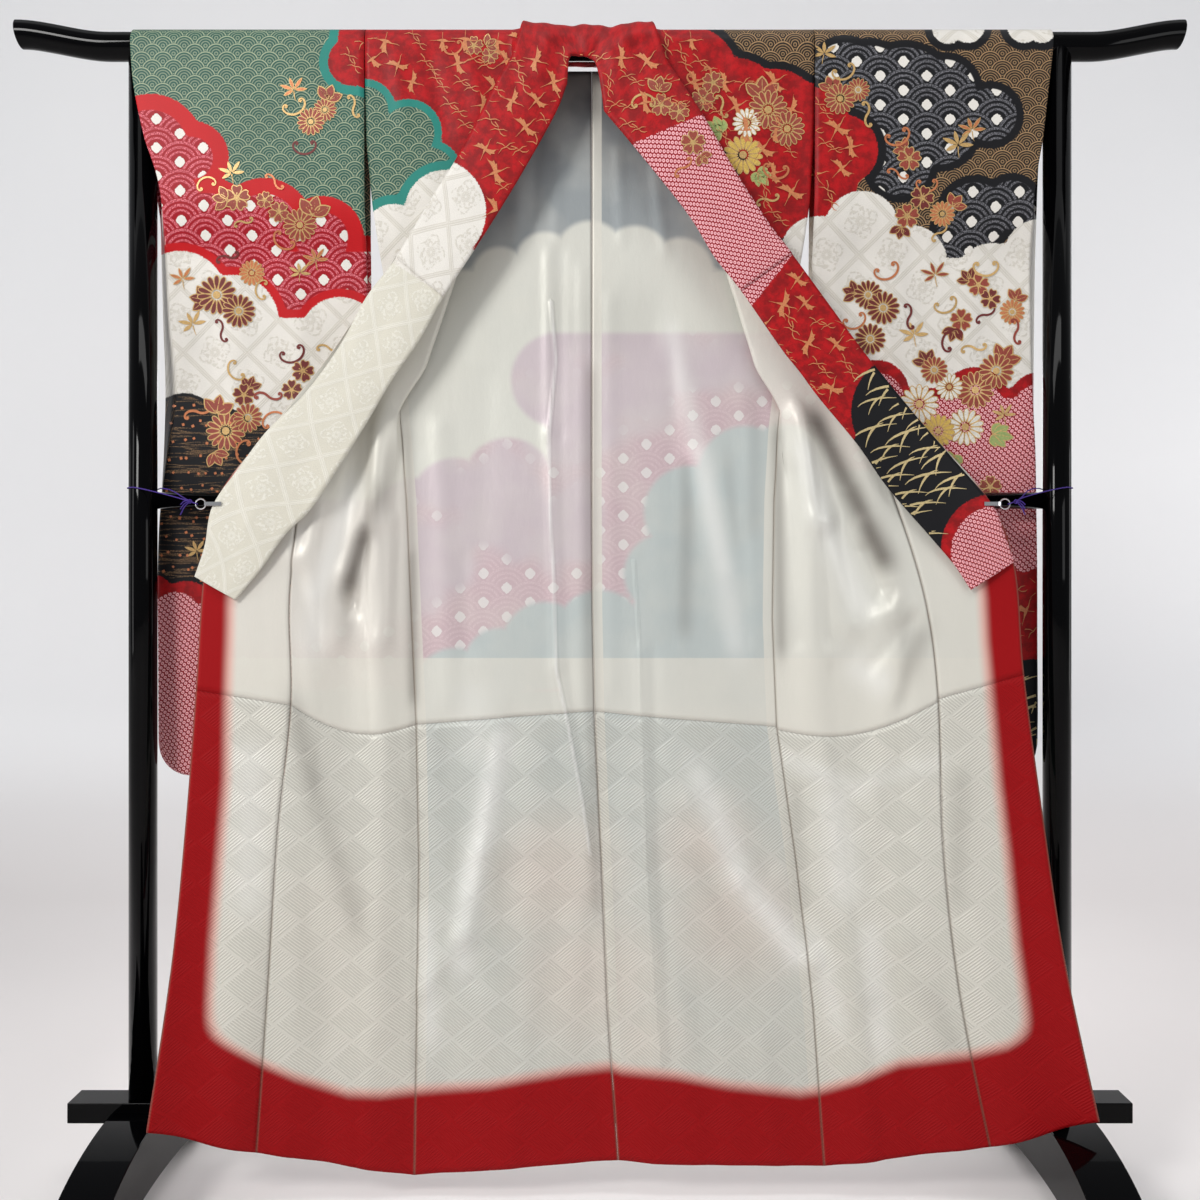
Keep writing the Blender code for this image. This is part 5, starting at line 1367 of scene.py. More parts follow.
def gore_piece(side):
    """Front gore and its linings."""
    step = settings().cloth.step
    ks = np.concatenate([fine_rows(side, 0, SEAM_ROW, step), fine_rows(side, SEAM_ROW, 8, step)[1:]])
    ts = np.linspace(0, 1, 22)
    rows = []
    for k in ks:
        ox, oz, ex, ez = table(FRONT[side], k)[3:]
        yo, ye = table(DEPTH, k)[5:7]
        ox += SIGN[side] * SEAM
        wave = 0.006 * soft((2.5 - k) / 2.5) * np.sin(2 * math.pi * ts)
        rows.append(np.stack([ox + (ex - ox) * ts, yo + (ye - yo) * ts - wave, oz + (ez - oz) * ts], axis=1))
    pts = creased(np.array(rows))
    name = "gore_" + side
    # The gore's seam edge carries the painted shade along the seams
    cloth(name, pts, settings().cloth.outer, silk(name + "_silk", "red_cranes", BEHIND),
          marks={**marks_for(BEHIND, *seen(pts)), "seam": edge_way(pts, True, False)})
    lower, upper = halves(drawn_out(toward_viewer(pts, LINING_GAP), last=False), ks)
    lining_piece("lining_gore_lower_" + side, lower, True)
    lining_piece("lining_gore_upper_" + side, upper, False)


def over_bar(x, q, r):
    """Point on cloth laid over the bar: q is the way from the top, + behind, hanging straight below."""
    quarter = r * math.pi / 2
    if abs(q) <= quarter:
        a = q / r
        return (x, r * math.sin(a), BAR_Z + r * math.cos(a))
    return (x, math.copysign(r, q), BAR_Z - (abs(q) - quarter))


def collar_strip():
    """The strip from the wearer's right end over the neck to the left end, seam edge first."""
    ts = np.linspace(0, 1, 19)
    rows, number = [], []

    def front(side, k):
        sx, sz, sy, ex, ez, ey = table(COLLAR[side], k)
        puff = 0.002 * np.sin(math.pi * ts)
        rows.append(np.stack([sx + (ex - sx) * ts, sy + (ey - sy) * ts - puff, sz + (ez - sz) * ts], axis=1))

    for k in np.linspace(0, 12, 157):
        front("right", k)
        number.append(k)
    for j in np.linspace(0, 10, 81):
        sx, sq, ex, eq, r = table(NECK, j)
        rows.append(np.array([over_bar(sx + (ex - sx) * t, sq + (eq - sq) * t, r) for t in ts]))
        number.append(13 + 2 * j)
    for k in np.linspace(12, 0, 157):
        front("left", k)
        number.append(COLLAR_END - k)
    return rumpled(np.array(rows)), np.array(number)


def rumpled(points):
    """Small folds where the collar is drawn over the bar."""
    across, down = seen(points)
    near = np.exp(-((down - 50) / 55.0) ** 2) * np.exp(-((across - 590) / 105.0) ** 2)
    ridge = (np.sin(across * 0.16 + down * 0.05) + 0.7 * np.sin(across * 0.33 - down * 0.11 + 1.0)
             + 0.6 * np.sin(down * 0.21 + across * 0.08))
    n = normals(points)
    flip = np.where(n[..., 1:2] > 0, -1.0, 1.0)
    return points + n * flip * (0.0013 * near * (ridge + 1.0))[..., None]


def collar_pieces():
    """The collar, and its cover over the middle part."""
    strip, number = collar_strip()
    middle = strip[:, strip.shape[1] // 2]
    place = np.zeros(strip.shape)
    place[..., 0] = np.linspace(0, COLLAR_WIDE, strip.shape[1])[None, :]
    place[1:, :, 1] = np.cumsum(np.linalg.norm(np.diff(middle, axis=0), axis=1))[:, None]

    def marks(points, shows=None):
        across, down = seen(points)
        out = marks_for(CLOUDS["collar"], across, down)
        for i, key in enumerate(out, 1):
            out[key] = np.where((down >= 60) & (shows is None or i in shows), out[key], OUTSIDE)
        return {**out, "seam": np.full(across.shape, FAR)}

    mat = silk("collar_silk", BASES["collar"], CLOUDS["collar"])
    cloth("collar", strip, settings().cloth.collar, mat, place=place, marks=marks(strip),
          rests_on=("body_right", "body_left", "top_bar"))
    inside = np.where((number >= COVER_ROW) & (number <= COLLAR_END - COVER_ROW))[0]
    part = toward_viewer(strip[inside], COVER_GAP)
    cloth("collar_cover", part, COVER_THICK, mat, place=place[inside], marks=marks(part, (1, 3)),
          rests_on=("collar",))


def sleeve_piece(side):
    """Closed loop over the bar, open at the furi side, sewn on the outer side below the cuff."""
    share = 1 - (1 - np.linspace(0, 1, 51)) ** 1.25
    heights = np.array([r[0] for r in SLEEVE[side]]) * 0.01
    zs = np.linspace(heights[0], heights[-1], 138)
    data = [table(SLEEVE[side], k) for k in np.interp(-zs, -heights, range(len(heights)))]

    def low(x, x_out):
        over = np.maximum(np.abs(x) - (abs(x_out) - SLEEVE_CORNER), 0.0)
        return SLEEVE_FOOT + SLEEVE_CORNER - np.sqrt(np.maximum(SLEEVE_CORNER ** 2 - over ** 2, 0.0))

    def xs(x_out):
        return SLEEVE_IN[side] + (x_out - SLEEVE_IN[side]) * share

    def ripple(x):
        return 0.0028 * np.abs(np.sin((np.abs(x) - 0.34) / 0.30 * math.pi * 3))

    front, back = [], []
    for z, (_, xf, yf, xb, yb) in zip(zs, data):
        weight = soft((1.50 - z) / 0.3)
        x = xs(xf)
        front.append(np.stack([x, yf + weight * ripple(x), np.full(x.shape, z)], axis=1))
        x = xs(xb)
        back.append(np.stack([x, np.full(x.shape, yb + weight * 0.004), np.full(x.shape, z)], axis=1))
    _, xf, yf, xb, yb = data[-1]
    tail_f, tail_b = [], []
    for share_down in np.linspace(0, 1, 14)[1:-1]:
        x = xs(xf)
        closing = soft((share_down - 0.75) / 0.25)
        y = yf + 0.003 * share_down + ripple(x) * (1 - share_down)
        middle = (yf + yb) / 2 + 0.003
        sink = math.sin(share_down * math.pi / 2)
        z = zs[-1] + (low(x, xf) - zs[-1]) * sink
        tail_f.append(np.stack([x, y + (middle - y) * closing * 0.7, z], axis=1))
        x = xs(xb)
        y = np.full(x.shape, yb + 0.004)
        z = zs[-1] + (low(x, xb) - zs[-1]) * sink
        tail_b.append(np.stack([x, y + (middle - y) * closing * 0.7, z], axis=1))
    x = xs(xf)
    bottom = np.stack([x, np.full(x.shape, (yf + yb) / 2 + 0.003), low(x, xf)], axis=1)
    arcs = []
    for t in np.linspace(0, 1, 12)[1:-1]:
        a = math.pi * t
        x = xs(data[0][1])
        arcs.append(np.stack([x, np.full(x.shape, -SHOULDER_R * math.cos(a)),
                              np.full(x.shape, BAR_Z + SHOULDER_R * math.sin(a))], axis=1))
    pts = np.array([bottom] + tail_f[::-1] + front[::-1] + arcs + back + tail_b)
    count = 1 + len(tail_f) + int((zs < CUFF_Z).sum())

    def sewn(bm, at, rows, columns):
        last = columns - 1
        for c in range(last):
            bm.faces.new((at[rows - 1, c], at[rows - 1, c + 1], at[0, c + 1], at[0, c]))
        for j in range(count):
            f0, f1, b1 = at[j, last], at[j + 1, last], at[rows - 1 - j, last]
            if j:
                bm.faces.new((f0, f1, b1, at[rows - j, last]))
            else:
                bm.faces.new((f0, f1, b1))

    name = "sleeve_" + side
    marks = {**marks_for(CLOUDS[name], *seen(pts)), "seam": np.full(pts.shape[:2], FAR)}
    cloth(name, pts, settings().cloth.outer, silk(name + "_silk", BASES[name], CLOUDS[name]),
          place=laid_flat(pts, 1 + len(tail_f) + len(front) + len(arcs), 25), marks=marks, sewn=sewn)


def outline_face(bm, points, kind):
    face = bm.faces.new([bm.verts.new((x, y, 0)) for x, y in points])
    face.material_index = kind
    return face


def petal(bm, inner, outer, half, notch=0.0, rim=0.05, turn=0.0, pointed=False):
    """Petal or leaf from a circle, pointing up and turned, with a rim of the first material."""
    verts = bmesh.ops.create_circle(bm, cap_ends=True, radius=1.0, segments=14)["verts"]
    for v in verts:
        a = math.atan2(v.co.y, v.co.x)
        t = (1 + math.sin(a)) / 2
        wide = math.sin(math.pi * min(t, 1.0)) ** 0.8 if pointed else abs(math.cos(a)) * (0.45 + 0.55 * t)
        x = math.copysign(half * wide, math.cos(a)) if abs(math.cos(a)) > 1e-6 else 0.0
        y = inner + (outer - inner) * t - (notch if t > 0.97 else 0.0)
        v.co = (x * math.cos(turn) - y * math.sin(turn), x * math.sin(turn) + y * math.cos(turn), 0)
    face = verts[0].link_faces[0]
    bmesh.ops.inset_individual(bm, faces=[face], thickness=rim, depth=0.0)
    face.material_index = 1
    bmesh.ops.poke(bm, faces=[face])


def disc(bm, radius, kind, at=(0.0, 0.0)):
    made = bmesh.ops.create_circle(bm, cap_ends=True, radius=radius, segments=9)["verts"]
    bmesh.ops.translate(bm, verts=made, vec=(*at, 0.0))
    made[0].link_faces[0].material_index = kind


def strip_of(bm, points, widths, kind=0):
    """Narrow strip along points, for scrolls, veins, stamens and grass."""
    pairs = []
    for i, (x, y) in enumerate(points):
        ax, ay = points[max(i - 1, 0)]
        bx, by = points[min(i + 1, len(points) - 1)]
        size = math.hypot(bx - ax, by - ay) or 1.0
        nx, ny = -(by - ay) / size * widths[i] / 2, (bx - ax) / size * widths[i] / 2
        pairs.append((bm.verts.new((x + nx, y + ny, 0)), bm.verts.new((x - nx, y - ny, 0))))
    for (a, b), (c, d) in zip(pairs, pairs[1:]):
        bm.faces.new((a, b, d, c)).material_index = kind


def ring_of(bm, count):
    bmesh.ops.spin(bm, geom=bm.verts[:] + bm.edges[:] + bm.faces[:], cent=(0, 0, 0), axis=(0, 0, 1),
                   angle=2 * math.pi * (count - 1) / count, steps=count - 1, use_duplicate=True)


def motif_mum(bm):
    petal(bm, 0.24, 1.0, 0.20, rim=0.045)
    ring_of(bm, 15)
    disc(bm, 0.20, 0)


def motif_cherry(bm):
    petal(bm, 0.10, 1.0, 0.52, notch=0.16, rim=0.075)
    ring_of(bm, 5)
    for i in range(10):
        a = math.radians(36 * i + 18)
        way = 0.46 if i % 2 else 0.34
        strip_of(bm, [(0.0, 0.0), (way * math.cos(a), way * math.sin(a))], [0.05, 0.05])
        disc(bm, 0.055, 0, (way * math.cos(a), way * math.sin(a)))


def motif_leaves(bm):
    for turn in (-0.85, 0.0, 0.85):
        petal(bm, 0.02, 1.0, 0.30, rim=0.06, turn=turn, pointed=True)
        strip_of(bm, [(-0.12 * math.sin(turn), 0.12 * math.cos(turn)),
                      (-0.86 * math.sin(turn), 0.86 * math.cos(turn))], [0.05, 0.02])


def motif_leaf_green(bm):
    for turn, size in ((-1.15, 0.62), (-0.6, 0.85), (0.0, 1.0), (0.6, 0.85), (1.15, 0.62)):
        petal(bm, 0.0, size, 0.24, rim=0.04, turn=turn, pointed=True)
        strip_of(bm, [(0, 0.05), (-0.8 * size * math.sin(turn), 0.8 * size * math.cos(turn))], [0.05, 0.02])


def motif_bamboo(bm):
    for turn, size in ((2.1, 0.8), (1.25, 1.0), (0.35, 0.85), (-0.6, 1.0), (-1.5, 0.9)):
        petal(bm, 0.04, size, 0.13, rim=0.04, turn=turn, pointed=True)
    strip_of(bm, [(0, -0.1), (0.05, -0.5), (0.12, -0.75)], [0.07, 0.05, 0.03])


def curl(bm, both):
    """Line that winds up at both ends, to the same side or to opposite sides."""
    line, x, y, turn = [], 0.0, 0.0, 0.0
    steps = 44
    for i in range(steps + 1):
        t = 2 * i / steps - 1
        bend = 0.9 + 26.0 * abs(t) ** 4
        turn += (bend if both or t > 0 else -bend) * 0.13
        x, y = x + 0.13 * math.cos(turn), y + 0.13 * math.sin(turn)
        line.append((x, y))
    cx = sum(p[0] for p in line) / len(line)
    cy = sum(p[1] for p in line) / len(line)
    reach = max(math.hypot(p[0] - cx, p[1] - cy) for p in line)
    line = [((p[0] - cx) / reach, (p[1] - cy) / reach) for p in line]
    strip_of(bm, line, [0.09 + 0.09 * math.sin(math.pi * i / steps) for i in range(steps + 1)])


def motif_crane(bm):
    """Crane in flight: slender body with long neck, one raised and one spread wing, trailing legs."""
    strip_of(bm, [(-0.95, -0.50), (-0.45, -0.22), (-0.15, -0.05), (0.12, 0.08), (0.42, 0.16), (0.78, 0.38),
                  (1.0, 0.40)], [0.02, 0.05, 0.20, 0.22, 0.07, 0.05, 0.01])
    outline_face(bm, [(-0.10, 0.0), (-0.30, 0.40), (-0.62, 0.86), (-0.28, 0.74), (-0.16, 0.84), (-0.06, 0.60),
                      (0.06, 0.62), (0.12, 0.10)], 0)
    outline_face(bm, [(0.08, 0.04), (0.26, -0.30), (0.66, -0.64), (0.44, -0.66), (0.36, -0.82), (0.12, -0.60),
                      (0.02, -0.70), (-0.12, -0.06)], 0)
    strip_of(bm, [(-0.10, 0.10), (-0.34, 0.56), (-0.70, 1.0)], [0.03, 0.05, 0.01])
    strip_of(bm, [(0.10, -0.06), (0.40, -0.44), (0.86, -0.72)], [0.03, 0.05, 0.01])


def motif_flight(bm):
    """Cranes farther off, drawn only as lines."""
    for x, y, size in ((-0.35, 0.30, 0.8), (0.40, -0.35, 0.7)):
        lines = (((-0.9, -0.2), (-0.4, 0.05), (0.0, 0.0), (0.5, 0.12), (0.95, 0.0)),
                 ((0.0, 0.0), (-0.15, 0.4), (-0.5, 0.75), (-0.62, 0.72)),
                 ((0.05, 0.0), (0.25, -0.35), (0.62, -0.55), (0.95, -0.50)))
        for line in lines:
            points = [(x + size * a, y + size * b) for a, b in line]
            strip_of(bm, points, [0.02] + [0.075] * (len(points) - 2) + [0.015])


def motif_grass(bm):
    """Two bent blades that cross."""
    for x0, y0, wide, high in ((-1.0, -0.40, 2.0, 0.80), (-0.42, -0.85, 0.80, 1.30)):
        line = [(x0 + wide * (1 - math.cos(t)), y0 + high * math.sin(t)) for t in np.linspace(0.25, 1.5, 7)]
        strip_of(bm, line, [0.02, 0.05, 0.085, 0.10, 0.085, 0.05, 0.015])


def motif_flake(bm):
    outline_face(bm, [(-0.8, -0.6), (0.7, -0.8), (0.9, 0.6), (-0.6, 0.8)], 0)


KINDS = {"mum": motif_mum, "cherry": motif_cherry, "leaves": motif_leaves, "leaf_green": motif_leaf_green,
         "bamboo": motif_bamboo, "scroll": lambda bm: curl(bm, True), "tendril": lambda bm: curl(bm, False),
         "crane": motif_crane, "flight": motif_flight, "grass": motif_grass, "flake": motif_flake}
# Kinds that take the fill all over, without a gold rim
WHOLE = ("crane", "flight", "grass", "flake", "scroll", "tendril")


def field_at(name, across, down, behind):
    """Name of the cloud field on top at a place of a surface."""
    surface = "collar" if name == "collar_cover" else name
    kind, fields = BASES.get(surface, "red_cranes"), CLOUDS.get(surface, BEHIND)
    if behind and surface.startswith("body"):
        fields = BEHIND
    for field in fields:
        if field_distance(across, down, *field[1:]) > 0:
            kind = field[0]
    return kind


def scattered(name, kind, box, dx, dy, reach, fill, margin=9, behind=False):
    """Small motifs on a jittered lattice, only where one kind of field lies."""
    dice = random.Random(name + kind + str(behind))
    out = []
    for row in range(math.ceil((box[3] - box[1]) / dy)):
        across = box[0] + (dx / 2 if row % 2 else 0)
        while across < box[2]:
            x, y = across + dice.uniform(-4, 4), box[1] + row * dy + dice.uniform(-4, 4)
            turn = dice.uniform(-50, 50)
            around = ((0, 0), (margin, 0), (-margin, 0), (0, margin), (0, -margin))
            if all(field_at(name, x + i, y + j, behind) == kind for i, j in around):
                motif, share = FIELD_MOTIFS[kind]
                if motif == "crane" and dice.random() < FAR_CRANES:
                    motif = "flight"
                out.append((motif, x, y, reach * dice.uniform(0.85, 1.1), turn * share, fill))
            across += dx
    return out


def print_piece(name, items, behind=False):
    """One piece of all motifs on one side of one cloth, laid on it along the line of sight."""
    surface = SURFACES[name]
    mesh = surface["object"].data
    tree = BVHTree.FromPolygons([v.co for v in mesh.vertices], [p.vertices[:] for p in mesh.polygons])
    eye = Vector((0.0, -EYE_Y, EYE_Z))
    palette = ["gold"]
    bm = bmesh.new()
    lost = []
    for i, (kind, across, down, reach, turn, fill) in enumerate(items):
        if kind == "scroll" and i % 2:
            kind = "tendril"
        if kind not in TEMPLATES:
            model = bmesh.new()
            KINDS[kind](model)
            bmesh.ops.subdivide_edges(model, cuts=1,
                                      edges=[e for e in model.edges if e.calc_length() > MODEL_EDGE])
            TEMPLATES[kind] = mesh_of("motif_" + kind, model)
        if fill not in palette:
            palette.append(fill)
        verts, faces = len(bm.verts), len(bm.faces)
        bm.from_mesh(TEMPLATES[kind])
        bm.verts.ensure_lookup_table()
        bm.faces.ensure_lookup_table()
        for face in bm.faces[faces:]:
            face.material_index = palette.index(fill) if kind in WHOLE or face.material_index else 0
        a = math.radians(turn)
        lift = surface["thick"] / 2 + PRINT_GAP + PRINT_STEP * (i % 5)
        for v in bm.verts[verts:]:
            x = (v.co.x * math.cos(a) + v.co.y * math.sin(a)) * reach
            y = (v.co.y * math.cos(a) - v.co.x * math.sin(a)) * reach
            way = ray(across + x, down - y)
            start, way = (eye + way * PAST, -way) if behind else (eye, way)
            hit, normal, _, _ = tree.ray_cast(start, way)
            if hit is None:
                lost.append(v)
                continue
            v.co = hit + normal * (lift if normal.dot(way) < 0 else -lift)
    bmesh.ops.delete(bm, geom=lost, context="VERTS")
    torn = [f for f in bm.faces if max(e.calc_length() for e in f.edges) > TORN_EDGE]
    bmesh.ops.delete(bm, geom=torn, context="FACES")
    label = "print_%s_%s" % (name, "back" if behind else "front")
    data = mesh_of(label, bm)
    for fill in palette:
        data.materials.append(print_material(fill))
    obj = shown(label, data)
    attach(obj, "root")
    surface["prints"].append(obj)


def motif_pieces():
    """All printed and stitched motifs, in front as in the picture and plausibly behind."""
    if not SURFACES:
        raise RuntimeError("the cloth is made before its motifs")
    for name, box in SCATTER.items():
        items = [item for row in FRONT_SCATTER for item in scattered(name, row[0], box, *row[1:])]
        print_piece(name, items + list(MOTIFS.get(name, ())))
    for name in ("sleeve_right", "sleeve_left", "body_right", "body_left", "gore_right", "gore_left"):
        box = BACK_SCATTER[name.split("_")[0]]
        items = scattered(name, "red_cranes", box, 30, 25, 13.0, "pale", behind=True)
        for surface, across, down in BACK_SPRAYS:
            if surface == name:
                items += [(kind, across + x, down + y, *rest) for kind, x, y, *rest in SPRAY]
        print_piece(name, items, True)


def solid(name, bm, mat, node, bevel=0.0, angle=40):
    """Piece of the stand in place of a plain solid."""
    bmesh.ops.recalc_face_normals(bm, faces=bm.faces)
    mesh = mesh_of(name, bm)
    mesh.materials.append(mat)
    mesh.shade_smooth()
    obj = shown(name, mesh)
    if bevel:
        mod = obj.modifiers.new("edges", "BEVEL")
        mod.width = bevel
        mod.segments = 3
        mod.limit_method = "ANGLE"
        mod.angle_limit = math.radians(angle)
        mod.harden_normals = True
    stands_for(obj, node)


def rod(rings):
    """Round rod: a circle extruded from ring to ring. A ring maps an angle to a point."""
    bm = bmesh.new()
    loop = bmesh.ops.create_circle(bm, cap_ends=False, radius=1.0, segments=64)["verts"]
    angles = [math.atan2(v.co.y, v.co.x) for v in loop]
    edges = list(bm.edges)
    for v, a in zip(loop, angles):
        v.co = rings[0](a)
    first = list(edges)
    for ring in rings[1:]:
        out = bmesh.ops.extrude_edge_only(bm, edges=edges)["geom"]
        verts = [e for e in out if isinstance(e, bmesh.types.BMVert)]
        edges = [e for e in out if isinstance(e, bmesh.types.BMEdge)]
        below = {}
        for v in verts:
            for e in v.link_edges:
                o = e.other_vert(v)
                if o in loop:
                    below[o] = v
        loop = [below[v] for v in loop]
        for v, a in zip(loop, angles):
            v.co = ring(a)
    for rim in (first, edges):
        bmesh.ops.edgeloop_fill(bm, edges=rim)
    return bm


def block(outline, x_low, x_high):
    """Outline of (y, z) points pushed along X."""
    bm = bmesh.new()
    face = bm.faces.new([bm.verts.new((x_low, y, z)) for y, z in outline])
    out = bmesh.ops.extrude_face_region(bm, geom=[face])["geom"]
    bmesh.ops.translate(bm, verts=[g for g in out if isinstance(g, bmesh.types.BMVert)],
                        vec=(x_high - x_low, 0, 0))
    return bm


def stand_pieces():
    mat = lacquer()
    sizes = settings().stand
    bar_r, post_r = sizes.bar_radius, sizes.post_radius

    def bar_ring(x):
        lift = BAR_RISE * float(soft((abs(x) - RISE_START) / (BAR_HALF - RISE_START)))
        lean = LEAN * float(soft((abs(x) - LEAN_START) / (BAR_HALF - LEAN_START)))
        return lambda a: (x + math.copysign(lean, x) * (math.sin(a) - 1) * 0.5,
                          bar_r * math.cos(a), BAR_Z + lift + bar_r * math.sin(a))

    ends = np.linspace(RISE_START, BAR_HALF, 16)
    stops = [-x for x in ends[::-1]] + list(ends)
    solid("bar_round", rod([bar_ring(float(x)) for x in stops]), mat, "top_bar", sizes.edge)
    for side, s in SIGN.items():
        def saddle(a, s=s):
            x, y = post_r * math.sin(a), post_r * math.cos(a)
            return (s * POST_X + x, y, BAR_Z - math.sqrt((bar_r + FIT) ** 2 - y * y))

        def on_rail(a, s=s):
            return (s * POST_X + post_r * math.sin(a), post_r * math.cos(a), RAIL_TOP + FIT)

        solid("post_round_" + side, rod([on_rail, saddle]), mat, "post_" + side)
        rise = [(SEAT_RIM, FOOT_CROWN * 0.9954)]
        for i in range(1, 37):
            y = SEAT_RIM + (FOOT_HALF_L - 0.004 - SEAT_RIM) * math.sin(math.pi / 2 * i / 36)
            rise.append((y, max(FOOT_CROWN * math.sqrt(max(1 - (y / FOOT_HALF_L) ** 2, 0.0)), FOOT_LOW)))
        under = [(ARCH_HALF * math.cos(math.pi / 2 * i / 24), FOOT_ARCH * math.sin(math.pi / 2 * i / 24))
                 for i in range(25)]
        half = [(SEAT_HALF, RAIL_LOW - FIT), *rise, (FOOT_HALF_L, TOE), (FOOT_HALF_L - TOE_BACK, 0.0), *under]
        outline = half + [(-y, z) for y, z in half[::-1]][1:]
        solid("foot_arch_" + side, block(outline, s * POST_X - FOOT_HALF_W, s * POST_X + FOOT_HALF_W), mat,
              "foot_" + side, sizes.edge, 30)

    def mid_ring(s):
        def ring(a):
            y, z = MID_R * math.cos(a), MID_R * math.sin(a)
            return (s * (POST_X - math.sqrt((post_r + FIT) ** 2 - y * y)), y, MID_Z + z)
        return ring

    solid("rail_round", rod([mid_ring(-1), mid_ring(1)]), mat, "mid_rail")
    half_y = RAIL_HALF_Y
    box = ((-half_y, RAIL_LOW), (half_y, RAIL_LOW), (half_y, RAIL_TOP), (-half_y, RAIL_TOP))
    solid("rail_low", block(box, -RAIL_HALF_X, RAIL_HALF_X), mat, "bottom_rail", sizes.edge)


def clip_pieces():
    """Steel for the clips and rings, and a smooth twisted cord with a knot in place of each plain one."""
    bright, thread = steel(), twisted_cord()
    for side, s in SIGN.items():
        for node in ("clip_", "clip_ring_"):
            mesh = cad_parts[node + side].data
            mesh.materials.clear()
            mesh.materials.append(bright)
        cx, cz = CLIP[side]
        eye = cx + s * (CLIP_ARM - 0.00045 - FIT + 2 * RING_R - 0.0017)
        reach = POST_R + CORD_R + FIT + 0.0002
        tie = 0.0023
        route = [(eye + s * tie * math.cos(a), CLIP_Y - tie * math.sin(a), cz + 0.0004 * i)
                 for i, a in enumerate((math.pi, math.pi * 0.75, math.pi * 0.5))]
        route.append((s * (POST_X - 0.060), -0.0420, cz + 0.0110))
        for i in range(17):
            a = math.radians(-72 + 222 * i / 16)
            route.append((s * (POST_X + reach * math.cos(a)), reach * math.sin(a), CORD_Z))
        route.append((s * (POST_X - 0.0300), -0.0080, CORD_Z - 0.0005))
        route.append((s * (POST_X - 0.0500), -0.0260, CORD_Z - 0.0050))
        route.append((eye + s * 0.0150, CLIP_Y + 0.0080, cz + 0.0070))
        route += [(eye + s * tie * math.cos(a), CLIP_Y + tie * math.sin(a), cz + 0.0004 * (2 - i))
                  for i, a in enumerate((math.pi * 0.5, math.pi * 0.75))]
        knot = Vector((eye + s * 0.008, CLIP_Y - 0.001, cz + 0.0035))
        ends = [[knot + Vector((s * 0.006 * t, -0.002 * t, 0.004 * t * lift - 0.003 * t * t))
                 for t in (0, 1, 2)] for lift in (0.9, 0.1, -0.9)]
        loop = [knot + Vector((0.0024 * math.cos(t), 0.0016 * math.sin(2 * t), 0.0024 * math.sin(t)))
                for t in (0, 1.05, 2.1, 3.14, 4.2, 5.25)]
        curve = bpy.data.curves.new("cord_" + side, "CURVE")
        curve.dimensions = "3D"
        curve.bevel_depth = CORD_R
        curve.bevel_resolution = 3
        curve.use_fill_caps = True
        curve.resolution_u = 6
        for line, closed in [(route, True), (loop, True)] + [(e, False) for e in ends]:
            spline = curve.splines.new("BEZIER")
            spline.bezier_points.add(len(line) - 1)
            spline.use_cyclic_u = closed
            for point, co in zip(spline.bezier_points, line):
                point.co = co
                point.handle_left_type = point.handle_right_type = "AUTO"
        curve.materials.append(thread)
        stands_for(shown("cord_" + side, curve), "clip_cord_" + side)


def backdrop():
    """Pale paper sweep: floor, bend and wall."""
    floor_front, floor_back, bend, radius, long, half_wide = -4.0, 1.4, 1.2, 0.76, 9.0, 6.0
    bm = bmesh.new()
    bmesh.ops.create_grid(bm, x_segments=1, y_segments=24, size=1.0)
    for v in bm.verts:
        way = floor_front + (v.co.y + 1) / 2 * long
        y, z = min(way, floor_back), max(way - floor_back - bend, 0.0)
        if way >= floor_back:
            a = min((way - floor_back) / bend, 1.0) * math.pi / 2
            y, z = floor_back + radius * math.sin(a), z + radius * (1 - math.cos(a))
        v.co = (v.co.x * half_wide, y, z)
    bmesh.ops.recalc_face_normals(bm, faces=bm.faces)
    mesh = mesh_of("backdrop", bm)
    mesh.shade_smooth()
    mat, g = material("pale_paper")
    place = g.own_place()
    across, _, height = g.split(place)
    cloudy = g.noise(place, 1.4, 3.0)
    paper = g.mix(cloudy, (0.86, 0.87, 0.885, 1), (0.90, 0.905, 0.915, 1))
    floor = g.mix(cloudy, (0.82, 0.785, 0.775, 1), (0.86, 0.825, 0.815, 1))
    # Painted shade: the floor darker towards the left
    floor = g.mix(g.ramp(across, -0.60, -1.0), floor, (0.68, 0.655, 0.65, 1))
    # The sweep's faces point away from the viewer, and from behind it is seen through
    g.finish(Base_Color=g.mix(g.ramp(height, 0.0, 0.5), floor, paper), Roughness=0.9,
             Alpha=g.add("NewGeometry", result="Backfacing"))
    mesh.materials.append(mat)
    shown("backdrop", mesh)


def stage_pieces():
    """Sweep, studio lights and the camera."""
    backdrop()
    for name, place, aim, (wide, high), power, *tint in LIGHTS:
        data = bpy.data.lights.new(name, "AREA")
        data.shape = "RECTANGLE"
        data.size, data.size_y = wide, high
        data.energy = power
        data.color = tint[0] if tint else (1, 1, 1)
        lamp = shown(name, data)
        lamp.location = place
        lamp.rotation_euler = (Vector(aim) - Vector(place)).to_track_quat("-Z", "Y").to_euler()
    scene = bpy.context.scene
    scene.world = bpy.data.worlds.new("studio")
    scene.world.use_nodes = True
    back = scene.world.node_tree.nodes["Background"]
    back.inputs["Color"].default_value = (0.94, 0.96, 1.0, 1.0)
    back.inputs["Strength"].default_value = WORLD_LIGHT
    data = bpy.data.cameras.new("view")
    data.sensor_width = 36.0
    data.lens = 36.0 * FOCAL / FRAME
    scene.camera = shown("view", data)
    scene.camera.location = (0.0, -EYE_Y, EYE_Z)
    scene.camera.rotation_euler = (math.pi / 2, 0, 0)
    scene.view_settings.view_transform = "Standard"


